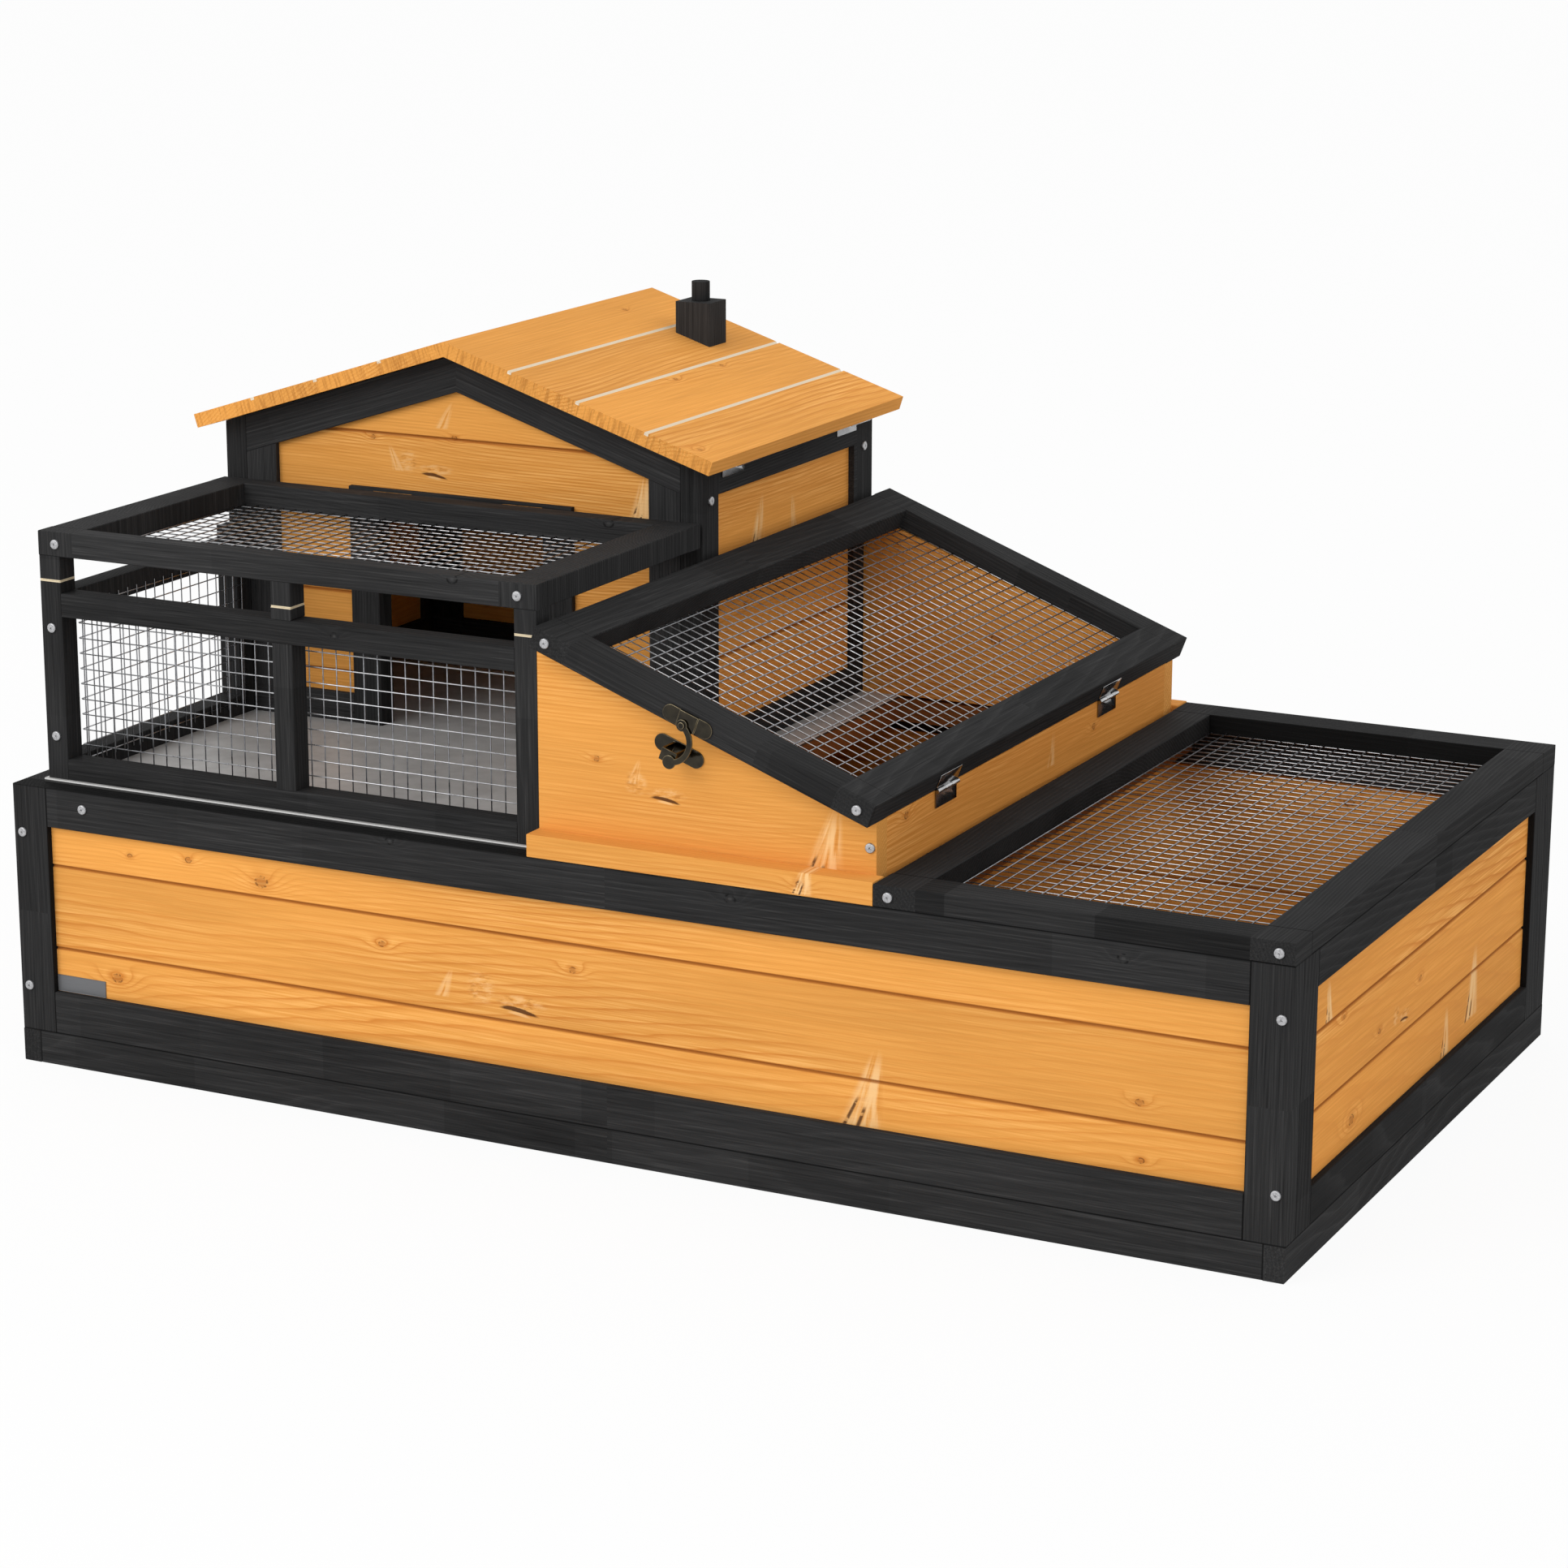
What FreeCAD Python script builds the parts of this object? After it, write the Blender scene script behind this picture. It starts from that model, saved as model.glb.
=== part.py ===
import FreeCAD, Part
import math
import os

Vector = FreeCAD.Vector
Rotation = FreeCAD.Rotation
Placement = FreeCAD.Placement
X = Vector(1, 0, 0)
Y = Vector(0, 1, 0)
Z = Vector(0, 0, 1)

# A two-storey tortoise enclosure in stained and black-painted pine. Millimetres.
# Sizes are laid out from the front left ground corner of the base: x to the right, y to the back, z up.
# The finished pieces are moved so that the origin is under the middle of the bounding box.

# Timber shared by all frames
TIMBER = 20.0
EASE = 0.6
BOARD = 10.0
BOARD_RECESS = 5.5
GROOVE = 1.8
SEAT = 0.3

# Base box
LENGTH = 1104.0
DEPTH = 632.0
STRIP_HEIGHT = 28.0
STRIP_WIDTH = 17.0
WALL_HEIGHT = 209.0
LONG_POST = 33.0
LONG_TOP_RAIL = 33.0
LONG_LOW_RAIL = 35.0
LONG_TOP_BOARD = 33.8
LONG_MIDDLE_BOARD = 70.3
SIDE_STILE = 31.0
SIDE_TOP_RAIL = 29.0
SIDE_LOW_RAIL = 29.0
SIDE_TOP_BOARD = 40.4
SIDE_MIDDLE_BOARD = 59.4
FLOOR = 6.0
BATTEN_WIDTH = 45.0
BATTEN_COUNT = 3

# Upper floor and the bearers under it
SHEET = 3.0
SHEET_LIP = 2.5
SHEET_STEP = 35.0
BEARER = 20.0
CROSS_LAP = 20.0

# Ramp
RAMP_WIDTH = 150.0
RAMP_THICKNESS = 9.0
RAMP_RUN = 222.0
RAMP_FROM_BEARER = 20.0
CLEAT_SECTION = 6.0
CLEAT_COUNT = 6

# Balcony
UPPER_LEFT = 22.0
BALCONY_DEPTH = 270.0
POST = 20.0
MIDDLE_POST = 18.5
POST_HEIGHT = 165.0
BALCONY_LOW_RAIL = 17.0
BALCONY_TOP_RAIL = 19.3
TOP_RAIL_DROP = 10.0
STAPLE_LAP = 8.0

# Balcony lid
LEG_HEIGHT = 20.0
BALCONY_LID_THICKNESS = 20.0
BALCONY_LID_END_RAIL = 33.0
BALCONY_LID_LONG_RAIL = 20.0

# House
HOUSE_WIDTH = 462.0
HOUSE_BACK_INSET = 22.5
HOUSE_WALL_HEIGHT = 253.6
HOUSE_LOW_RAIL = 25.0
HOUSE_BOARD_HEIGHT = 199.0
HOUSE_FRONT_STILE = 28.0
HOUSE_BACK_STILE = 36.0
GABLE_STILE = 30.0
RAFTER = 30.5
FIRST_GROOVE = 43.1
BOARD_COVER = 70.15
DOOR_WIDTH = 161.0
DOOR_HEIGHT = 180.0
DOOR_POST = 27.7
LINTEL = 27.0

# Roof
PITCH = 17.7
ROOF = 12.0
EAVE_OVERHANG = 15.8
ROOF_FRONT_OVERHANG = 19.5
ROOF_BACK_OVERHANG = 22.5
FIRST_ROOF_BOARD = 62.5
ROOF_BOARD = 66.8
ROOF_BATTEN_WIDTH = 20.0
ROOF_BATTEN_THICKNESS = 15.0
ROOF_BATTEN_INSET = 20.0
ROOF_BATTEN_END = 28.0
RIDGE_CLEARANCE = 12.0
CHIMNEY_FROM_RIDGE = 73.0
CHIMNEY_WIDTH = 33.5
CHIMNEY_DEPTH = 32.0
CHIMNEY_HEIGHT = 27.4
CHIMNEY_FROM_BACK = 60.0
POT_RADIUS = 8.0
POT_HEIGHT = 17.0

# Middle section and its sloped lid
MIDDLE_LENGTH = 286.2
MIDDLE_PANEL = 18.0
LEDGE_HEIGHT = 18.0
SLOPE = 20.5
LOW_EDGE = 58.0
SLOPED_LID_CLEARANCE = 2.4
SLOPED_LID_THICKNESS = 18.0
SLOPED_LID_SIDE_RAIL = 32.0
SLOPED_LID_END_RAIL = 33.0
SLOPED_LID_OVERHANG = 17.0

# Flat lid
FLAT_LID_THICKNESS = 17.0
FLAT_LID_RAIL = 34.0
LID_GAP = 0.5

# Welded mesh: every third wire of the 12.7 mm square mesh
WIRE = 1.2
MESH_PITCH = 38.1
MESH_RAISE = 0.5
MESH_SIDE_GAP = 1.5

# Butt hinges
LEAF_WIDTH = 38.0
LEAF_REACH = 13.5
LEAF = 1.2
KNUCKLE_RADIUS = 2.0
KNUCKLE_GAP = 0.4
PIN_RADIUS = 1.1
PIN_PLAY = 0.05
ROOF_HINGE_FROM_FRONT = 53.0
ROOF_HINGE_FROM_BACK = 53.0
SLOPED_HINGE_FROM_FRONT = 141.0
SLOPED_HINGE_FROM_BACK = 170.0
FLAT_HINGE_INSET = 80.0
BALCONY_HINGE_INSET = 45.0
BALCONY_HINGE_DROP = 2.2

# Swing-hook latch on the front of the sloped lid
LATCH_FROM_LOW_END = 162.8
RIVET_LIFT = 4.3
EAR_SPACING = 29.8
EAR_RADIUS = 6.8
PLATE = 1.2
PLATE_SHIFT = 2.1
PLATE_RISE = 3.6
PAD_LENGTH = 16.0
PAD = 1.2
HOOK = 1.6
HOOK_PLAY = 0.2
HOOK_REACH = 31.4
HOOK_BULGE = 11.5
ARM_WIDTH = 4.6
EYE_RADIUS = 4.6
TAB_RADIUS = 5.4
RIVET_RADIUS = 1.5
RIVET_HEAD_RADIUS = 2.7
RIVET_HEAD = 1.1
RIVET_PLAY = 0.1
KEEPER_DROP = 28.4
KEEPER_SHIFT = 3.1
KEEPER_WALL = 1.5
BRIDGE_LENGTH = 13.0
BRIDGE_WIDTH = 10.0
HOOK_CLEARANCE = 0.35

# Screw heads
SCREW_RADIUS = 4.0
SCREW_HEAD = 1.8
SCREW_EDGE = 8.5
POST_SCREW_TOP = 40.0
POST_SCREW_LOW = 38.0
RAIL_SCREW_INSET = 36.0
RAIL_SCREW_DROP = 14.0
LID_SCREW_INSET = 12.0
BALCONY_SCREW_TOP = 39.0
BALCONY_SCREW_LOW = 36.0
PANEL_SCREW_INSET = 5.0
PANEL_SCREW_RISE = 38.0
HOUSE_SCREW_FRONT = 14.0
HOUSE_SCREW_BACK = 17.0
HOUSE_SCREW_RISE = 221.0

# Levels and planes that follow from the sizes above
SLOPE_SIN = math.sin(math.radians(SLOPE))
SLOPE_COS = math.cos(math.radians(SLOPE))
PITCH_SIN = math.sin(math.radians(PITCH))
PITCH_COS = math.cos(math.radians(PITCH))
WALL_TOP = STRIP_HEIGHT + WALL_HEIGHT
DECK = WALL_TOP + SHEET
BALCONY_FRONT = TIMBER
HOUSE_FRONT = BALCONY_FRONT + BALCONY_DEPTH
HOUSE_BACK = DEPTH - HOUSE_BACK_INSET
HOUSE_DEPTH = HOUSE_BACK - HOUSE_FRONT
UPPER_RIGHT = UPPER_LEFT + HOUSE_WIDTH
RIDGE_X = UPPER_LEFT + HOUSE_WIDTH / 2
SHEET_RIGHT = UPPER_RIGHT + SHEET_STEP
MIDDLE_RIGHT = UPPER_RIGHT + MIDDLE_LENGTH
MIDDLE_FRONT = TIMBER
MIDDLE_BACK = DEPTH - TIMBER
FLAT_LID_LEFT = MIDDLE_RIGHT + SLOPED_LID_THICKNESS * SLOPE_SIN + LID_GAP
CROSS_RIGHT = MIDDLE_RIGHT + CROSS_LAP
BALCONY_LID_LOW = DECK + POST_HEIGHT + SEAT + LEG_HEIGHT
BALCONY_LID_BACK = HOUSE_FRONT - 2 * KNUCKLE_RADIUS
ROOF_FRONT = HOUSE_FRONT - ROOF_FRONT_OVERHANG
ROOF_BACK = HOUSE_BACK + ROOF_BACK_OVERHANG
LOW_END = Vector(MIDDLE_RIGHT, 0, WALL_TOP + LOW_EDGE)
SLOPED_LID_LENGTH = (LOW_END.x - UPPER_RIGHT - SLOPED_LID_CLEARANCE) / SLOPE_COS
SLOPED_LID_FRONT = MIDDLE_FRONT - SLOPED_LID_OVERHANG
SLOPED_LID_BACK = MIDDLE_BACK + SLOPED_LID_OVERHANG
PAD_FRONT = SLOPED_LID_FRONT - PLATE - PAD
HOOK_BACK = PAD_FRONT - HOOK_PLAY
RIVET_NECK = HOOK_BACK - HOOK - RIVET_PLAY
FRONT_MOST = RIVET_NECK - RIVET_HEAD
BACK_MOST = DEPTH + 2 * KNUCKLE_RADIUS
ORIGIN = Vector(LENGTH / 2, (FRONT_MOST + BACK_MOST) / 2, 0)

# Where a flat panel, drawn facing the front, stands in the enclosure
FACING_FRONT = Rotation(Z, 0)
FACING_RIGHT = Rotation(Z, 90)
FACING_BACK = Rotation(Z, 180)
FACING_LEFT = Rotation(Z, 270)
SLOPED_PLACE = Placement(LOW_END, Rotation(Y, SLOPE))


def block(x0, x1, y0, y1, z0, z1):
    """A plain box between two opposite corners."""
    return Part.makeBox(x1 - x0, y1 - y0, z1 - z0, Vector(x0, y0, z0))


def runs_along(edge, direction):
    """True for a straight edge that is parallel to a direction."""
    ends = [vertex.Point for vertex in edge.Vertexes]
    return len(ends) == 2 and (ends[1] - ends[0]).normalize().cross(direction).Length < 1e-6


def eased(shape, direction):
    """Break the long arrises of a sawn timber."""
    arrises = [edge for edge in shape.Edges if runs_along(edge, direction)]
    return shape.makeChamfer(EASE, arrises)


def bar(x0, x1, y0, y1, z0, z1):
    """A planed timber, with the arrises along its length eased."""
    sides = {x1 - x0: X, y1 - y0: Y, z1 - z0: Z}
    return eased(block(x0, x1, y0, y1, z0, z1), sides[max(sides)])


def prism(points, sweep):
    """A flat outline swept in a straight line."""
    return Part.Face(Part.makePolygon(points + points[:1])).extrude(sweep)


def in_front_plane(outline, y0, y1):
    """An outline of x and z pairs swept from one depth to another."""
    return prism([Vector(x, y0, z) for x, z in outline], Y * (y1 - y0))


def board(outline, grooves):
    """A board facing the front, recessed in its frame, with a V edge at each groove level."""
    face_y = BOARD_RECESS
    shape = in_front_plane(outline, face_y, face_y + BOARD)
    edges = []
    for edge in shape.Edges:
        on_groove = any(
            all(abs(v.Z - level) < 1e-6 and abs(v.Y - face_y) < 1e-6 for v in edge.Vertexes)
            for level in grooves
        )
        if on_groove:
            edges.append(edge)
    return shape.makeChamfer(GROOVE, edges) if edges else shape


def rectangle(x0, x1, z0, z1):
    return [(x0, z0), (x1, z0), (x1, z1), (x0, z1)]


def board_rows(x0, x1, z0, z1, grooves):
    """Horizontal boards that fill a rectangle, parted at the groove levels."""
    levels = [z0] + sorted(g for g in grooves if z0 < g < z1) + [z1]
    return [board(rectangle(x0, x1, low, high), grooves) for low, high in zip(levels, levels[1:])]


def framed_panel(width, height, stile, top_rail, low_rail, top_board, middle_board):
    """A wall panel: two stiles, two rails and three boards, facing the front from x = 0 and z = 0."""
    inner = width - stile
    board_top = height - top_rail
    frame = [
        bar(0, stile, 0, TIMBER, 0, height),
        bar(inner, width, 0, TIMBER, 0, height),
        bar(stile, inner, 0, TIMBER, board_top, height),
        bar(stile, inner, 0, TIMBER, 0, low_rail),
    ]
    first = board_top - top_board
    grooves = [first, first - middle_board]
    return frame, board_rows(stile, inner, low_rail, board_top, grooves)


def placed(shape, place):
    """A copy of a shape, carried to a place."""
    copy = shape.copy()
    copy.Placement = place.multiply(copy.Placement)
    return copy


def moved(shapes, corner, turn=FACING_FRONT):
    """Copies of some shapes, turned about the vertical and then put at a corner."""
    return [placed(shape, Placement(corner, turn)) for shape in shapes]


def on_slope(shapes):
    """Pieces drawn flat, laid on the plane of the sloped lid."""
    return [placed(shape, SLOPED_PLACE) for shape in shapes]


def lid_rails(x0, x1, y0, y1, z0, z1, end_rail, long_rail):
    """Four rails of a lid: the long ones run through, the end ones fit between them."""
    return [
        bar(x0, x1, y0, y0 + long_rail, z0, z1),
        bar(x0, x1, y1 - long_rail, y1, z0, z1),
        bar(x0, x0 + end_rail, y0 + long_rail, y1 - long_rail, z0, z1),
        bar(x1 - end_rail, x1, y0 + long_rail, y1 - long_rail, z0, z1),
    ]


def wire_mesh(x0, x1, y0, y1, z0):
    """Welded mesh lying flat: one holed face, as thick as its wire."""
    corners = [(x0, y0), (x1, y0), (x1, y1), (x0, y1)]
    wires = [Part.makePolygon([Vector(x, y, z0) for x, y in corners + corners[:1]])]
    columns = int((x1 - x0 - WIRE) // MESH_PITCH)
    rows = int((y1 - y0 - WIRE) // MESH_PITCH)
    left = (x0 + x1 - columns * MESH_PITCH + WIRE) / 2
    front = (y0 + y1 - rows * MESH_PITCH + WIRE) / 2
    hole = MESH_PITCH - WIRE
    for column in range(columns):
        for row in range(rows):
            a = left + column * MESH_PITCH
            b = front + row * MESH_PITCH
            gap = [(a, b), (a + hole, b), (a + hole, b + hole), (a, b + hole)]
            wires.append(Part.makePolygon([Vector(x, y, z0) for x, y in gap + gap[:1]]))
    return Part.makeFace(wires, "Part::FaceMakerBullseye").extrude(Z * WIRE)


def lid_mesh(x0, x1, y0, y1, z0, end_rail, long_rail):
    """Mesh let into the opening of a lid frame, just above its underside."""
    return wire_mesh(x0 + end_rail, x1 - end_rail, y0 + long_rail, y1 - long_rail, z0 + MESH_RAISE)


def hinge_place(pivot, reach_way, seat_way):
    """The frame of a hinge leaf: x along the pin, y the way it reaches, z towards its seat."""
    along = reach_way.cross(seat_way)
    return Placement(pivot, Rotation(along, reach_way, seat_way, "XYZ"))


def hinge_leaf(spans):
    """One leaf with the pin's line along x: a plate and its knuckles, over spans of its width."""
    half = LEAF_WIDTH / 2
    root = KNUCKLE_RADIUS + KNUCKLE_GAP
    low = KNUCKLE_RADIUS - LEAF
    pieces = [block(-half, half, root, LEAF_REACH, low, KNUCKLE_RADIUS)]
    for start, end in spans:
        pieces.append(Part.makeCylinder(KNUCKLE_RADIUS, end - start, Vector(start, 0, 0), X))
        pieces.append(block(start, end, 0, root, low, KNUCKLE_RADIUS))
    return pieces[0].multiFuse(pieces[1:])


def hinge(pivot, fixed, moving):
    """A butt hinge at a point on its axis: the pin is held in the outer knuckles of the fixed leaf
    and turns in the middle knuckle of the other. Each leaf has the way it reaches and its seat's way."""
    half = LEAF_WIDTH / 2
    third = LEAF_WIDTH / 6
    pin = Part.makeCylinder(PIN_RADIUS, LEAF_WIDTH, Vector(-half, 0, 0), X)
    bore = Part.makeCylinder(PIN_RADIUS + PIN_PLAY, LEAF_WIDTH, Vector(-half, 0, 0), X)
    outer = hinge_leaf([(-half, -third), (third, half)]).fuse(pin).removeSplitter()
    middle = hinge_leaf([(-third + KNUCKLE_GAP, third - KNUCKLE_GAP)]).cut(bore).removeSplitter()
    return placed(outer, hinge_place(pivot, *fixed)), placed(middle, hinge_place(pivot, *moving))


def screw(point, outward):
    """A flat cheese head seated on a face."""
    head = Part.makeCylinder(SCREW_RADIUS, SCREW_HEAD)
    return placed(head, Placement(point, Rotation(Z, outward)))


def roof_under(x):
    """Height of the roof's underside over a place across the house."""
    return DECK + HOUSE_WALL_HEIGHT + (HOUSE_WIDTH / 2 - abs(x - RIDGE_X)) * PITCH_SIN / PITCH_COS


def wall_top(x):
    """Height of the house walls, which stop a seat clearance below the roof."""
    return roof_under(x) - SEAT / PITCH_COS


def lid_under(x):
    """Height of the sloped lid's underside."""
    return LOW_END.z + (LOW_END.x - x) * SLOPE_SIN / SLOPE_COS


def save(name, shapes):
    """Move a node's solids to the part's origin and write them."""
    node = Part.makeCompound([shape.translated(-ORIGIN) for shape in shapes])
    node.exportStep("parts/" + name + ".step")


def base_box():
    """Ground strips, floor and the four framed walls."""
    right = LENGTH - STRIP_WIDTH
    back = DEPTH - STRIP_WIDTH
    save("ground_frame", [
        bar(0, STRIP_WIDTH, 0, DEPTH, 0, STRIP_HEIGHT),
        bar(right, LENGTH, 0, DEPTH, 0, STRIP_HEIGHT),
        bar(STRIP_WIDTH, right, 0, STRIP_WIDTH, 0, STRIP_HEIGHT),
        bar(STRIP_WIDTH, right, back, DEPTH, 0, STRIP_HEIGHT),
    ])
    floor_low = STRIP_HEIGHT - FLOOR
    save("base_floor", [block(STRIP_WIDTH, right, STRIP_WIDTH, back, floor_low, STRIP_HEIGHT)])
    step = (right - STRIP_WIDTH) / (BATTEN_COUNT + 1)
    battens = []
    for index in range(BATTEN_COUNT):
        x = STRIP_WIDTH + step * (index + 1) - BATTEN_WIDTH / 2
        battens.append(block(x, x + BATTEN_WIDTH, STRIP_WIDTH, back, 0, floor_low))
    save("floor_battens", battens)

    long_frame, long_boards = framed_panel(
        LENGTH, WALL_HEIGHT, LONG_POST, LONG_TOP_RAIL, LONG_LOW_RAIL, LONG_TOP_BOARD, LONG_MIDDLE_BOARD)
    side_frame, side_boards = framed_panel(
        DEPTH - 2 * TIMBER, WALL_HEIGHT, SIDE_STILE, SIDE_TOP_RAIL, SIDE_LOW_RAIL,
        SIDE_TOP_BOARD, SIDE_MIDDLE_BOARD)
    walls = [
        ("front", long_frame, long_boards, Vector(0, 0, STRIP_HEIGHT), FACING_FRONT),
        ("back", long_frame, long_boards, Vector(LENGTH, DEPTH, STRIP_HEIGHT), FACING_BACK),
        ("left", side_frame, side_boards, Vector(0, DEPTH - TIMBER, STRIP_HEIGHT), FACING_LEFT),
        ("right", side_frame, side_boards, Vector(LENGTH, TIMBER, STRIP_HEIGHT), FACING_RIGHT),
    ]
    for side, frame, boards, corner, turn in walls:
        save(side + "_wall_frame", moved(frame, corner, turn))
        save(side + "_wall_boards", moved(boards, corner, turn))


def upper_floor():
    """The floor sheet of the upper storey, its bearers and the ramp down to the run."""
    low = WALL_TOP - BEARER
    front = TIMBER + BEARER
    back = DEPTH - TIMBER - BEARER
    save("floor_bearers", [
        block(TIMBER, CROSS_RIGHT, TIMBER, front, low, WALL_TOP),
        block(TIMBER, CROSS_RIGHT, back, DEPTH - TIMBER, low, WALL_TOP),
        block(TIMBER, TIMBER + BEARER, front, back, low, WALL_TOP),
        block(SHEET_RIGHT - BEARER, SHEET_RIGHT, front, back, low, WALL_TOP),
        block(MIDDLE_RIGHT - TIMBER, CROSS_RIGHT, front, back, low, WALL_TOP),
    ])
    storey = block(
        UPPER_LEFT - SHEET_LIP, UPPER_RIGHT, BALCONY_FRONT - SHEET_LIP, HOUSE_BACK + SHEET_LIP, WALL_TOP, DECK)
    step = block(UPPER_RIGHT, SHEET_RIGHT, MIDDLE_FRONT, HOUSE_BACK + SHEET_LIP, WALL_TOP, DECK)
    save("upper_floor", [storey.fuse(step).removeSplitter()])

    drop = DECK - STRIP_HEIGHT
    angle = math.atan2(drop, RAMP_RUN)
    side = front + RAMP_FROM_BEARER
    foot = RAMP_THICKNESS / math.sin(angle)
    outline = [
        (SHEET_RIGHT, DECK), (SHEET_RIGHT, DECK - RAMP_THICKNESS / math.cos(angle)),
        (SHEET_RIGHT + RAMP_RUN - foot, STRIP_HEIGHT), (SHEET_RIGHT + RAMP_RUN, STRIP_HEIGHT)]
    save("ramp_board", [in_front_plane(outline, side, side + RAMP_WIDTH)])
    length = math.hypot(drop, RAMP_RUN)
    place = Placement(Vector(SHEET_RIGHT, side, DECK), Rotation(Y, math.degrees(angle)))
    cleats = []
    for index in range(CLEAT_COUNT):
        middle = length * (index + 1) / (CLEAT_COUNT + 1)
        half = CLEAT_SECTION / 2
        cleat = block(middle - half, middle + half, 0, RAMP_WIDTH, 0, CLEAT_SECTION)
        cleats.append(placed(cleat, place))
    save("ramp_cleats", cleats)


def balcony():
    """Posts, rails and mesh of the balcony in front of the house."""
    front = BALCONY_FRONT
    inner = front + POST
    left = UPPER_LEFT
    left_in = left + POST
    right_in = UPPER_RIGHT - POST
    top = DECK + POST_HEIGHT
    rail_top = top - TOP_RAIL_DROP
    rail_low = rail_top - BALCONY_TOP_RAIL
    sill = DECK + BALCONY_LOW_RAIL
    back_post = HOUSE_FRONT - POST
    middle = RIDGE_X - MIDDLE_POST / 2
    save("balcony_posts", [
        bar(left, left_in, front, inner, DECK, top),
        bar(right_in, UPPER_RIGHT, front, inner, DECK, top),
        bar(left, left_in, back_post, HOUSE_FRONT, DECK, top),
        bar(middle, middle + MIDDLE_POST, front, inner, sill, rail_low),
        bar(middle, middle + MIDDLE_POST, front, inner, rail_top, top),
    ])
    save("balcony_rails", [
        bar(left_in, right_in, front, inner, DECK, sill),
        bar(left_in, right_in, front, inner, rail_low, rail_top),
        bar(left, left_in, inner, back_post, DECK, sill),
        bar(left, left_in, inner, back_post, rail_low, rail_top),
    ])
    height = rail_low - sill + 2 * STAPLE_LAP
    corner = Vector(left_in + MESH_SIDE_GAP, inner, sill - STAPLE_LAP)
    upright = Rotation(X, 90)
    sheet = wire_mesh(0, right_in + STAPLE_LAP - corner.x, 0, height, 0)
    save("balcony_front_mesh", [placed(sheet, Placement(corner + Y * WIRE, upright))])
    corner = Vector(left_in, inner + MESH_SIDE_GAP, corner.z)
    side = wire_mesh(0, back_post + STAPLE_LAP - corner.y, 0, height, 0)
    save("balcony_side_mesh", [placed(side, Placement(corner, FACING_RIGHT.multiply(upright)))])


def balcony_lid():
    """The mesh lid over the balcony, on three legs that meet the posts."""
    left = UPPER_LEFT
    front = BALCONY_FRONT
    low = BALCONY_LID_LOW
    extents = (left, UPPER_RIGHT, front, BALCONY_LID_BACK)
    save("balcony_lid_rails", lid_rails(
        *extents, low, low + BALCONY_LID_THICKNESS, BALCONY_LID_END_RAIL, BALCONY_LID_LONG_RAIL))
    save("balcony_lid_mesh", [lid_mesh(*extents, low, BALCONY_LID_END_RAIL, BALCONY_LID_LONG_RAIL)])
    middle = RIDGE_X - MIDDLE_POST / 2
    feet = [(left, POST), (middle, MIDDLE_POST), (UPPER_RIGHT - POST, POST)]
    save("balcony_lid_legs", [
        bar(x, x + width, front, front + POST, low - LEG_HEIGHT, low) for x, width in feet])


def house_side(left_stile, right_stile):
    """A side wall of the house facing the front: frame and boards under a bevelled top."""
    outer = wall_top(UPPER_LEFT) - DECK
    inner = wall_top(UPPER_LEFT + TIMBER) - DECK
    board_top = HOUSE_LOW_RAIL + HOUSE_BOARD_HEIGHT
    stiles = [(0, left_stile), (HOUSE_DEPTH - right_stile, HOUSE_DEPTH)]

    def member(low, start, end):
        section = [(0, low), (TIMBER, low), (TIMBER, inner), (0, outer)]
        return eased(prism([Vector(start, y, z) for y, z in section], X * (end - start)), X)

    frame = [member(0, start, end) for start, end in stiles]
    x0 = stiles[0][1]
    x1 = stiles[1][0]
    frame.append(member(board_top, x0, x1))
    frame.append(bar(x0, x1, 0, TIMBER, 0, HOUSE_LOW_RAIL))
    grooves = [board_top - BOARD_COVER, board_top - 2 * BOARD_COVER]
    return frame, board_rows(x0, x1, HOUSE_LOW_RAIL, board_top, grooves)


def mirrored(shapes, x):
    """Copies reflected across an upright plane."""
    return [shape.mirror(Vector(x, 0, 0), X) for shape in shapes]


def gable_frame():
    """Left half of a gable frame, from the side wall to the ridge, at x and z of the house."""
    left = UPPER_LEFT + TIMBER
    stile = left + GABLE_STILE
    rafter = RAFTER / PITCH_COS
    upright = in_front_plane([
        (left, DECK), (stile, DECK), (stile, wall_top(stile) - rafter),
        (left, wall_top(left) - rafter)], 0, TIMBER)
    sloping = in_front_plane([
        (left, wall_top(left) - rafter), (RIDGE_X, wall_top(RIDGE_X) - rafter),
        (RIDGE_X, wall_top(RIDGE_X)), (left, wall_top(left))], 0, TIMBER)
    return [eased(upright, Z), eased(sloping, Vector(PITCH_COS, 0, PITCH_SIN))]


def gable_top(low, grooves):
    """Boards of the gable above a level, cut to the rafters."""
    left = UPPER_LEFT + TIMBER + GABLE_STILE
    right = 2 * RIDGE_X - left
    rafter = RAFTER / PITCH_COS
    edge = wall_top(left) - rafter
    peak = wall_top(RIDGE_X) - rafter
    levels = [low] + sorted(g for g in grooves if low < g < peak) + [peak]
    pieces = []
    for z0, z1 in zip(levels, levels[1:]):
        outline = []
        for z in (z0, edge, z1):
            inset = max(0, (z - edge) * PITCH_COS / PITCH_SIN)
            if z0 <= z <= z1 and (left + inset, z) not in outline:
                outline.append((left + inset, z))
        flipped = [(left + right - x, z) for x, z in reversed(outline)]
        if abs(flipped[0][0] - outline[-1][0]) < 1e-6:
            flipped = flipped[1:]
        pieces.append(board(outline + flipped, grooves))
    return pieces


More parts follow.
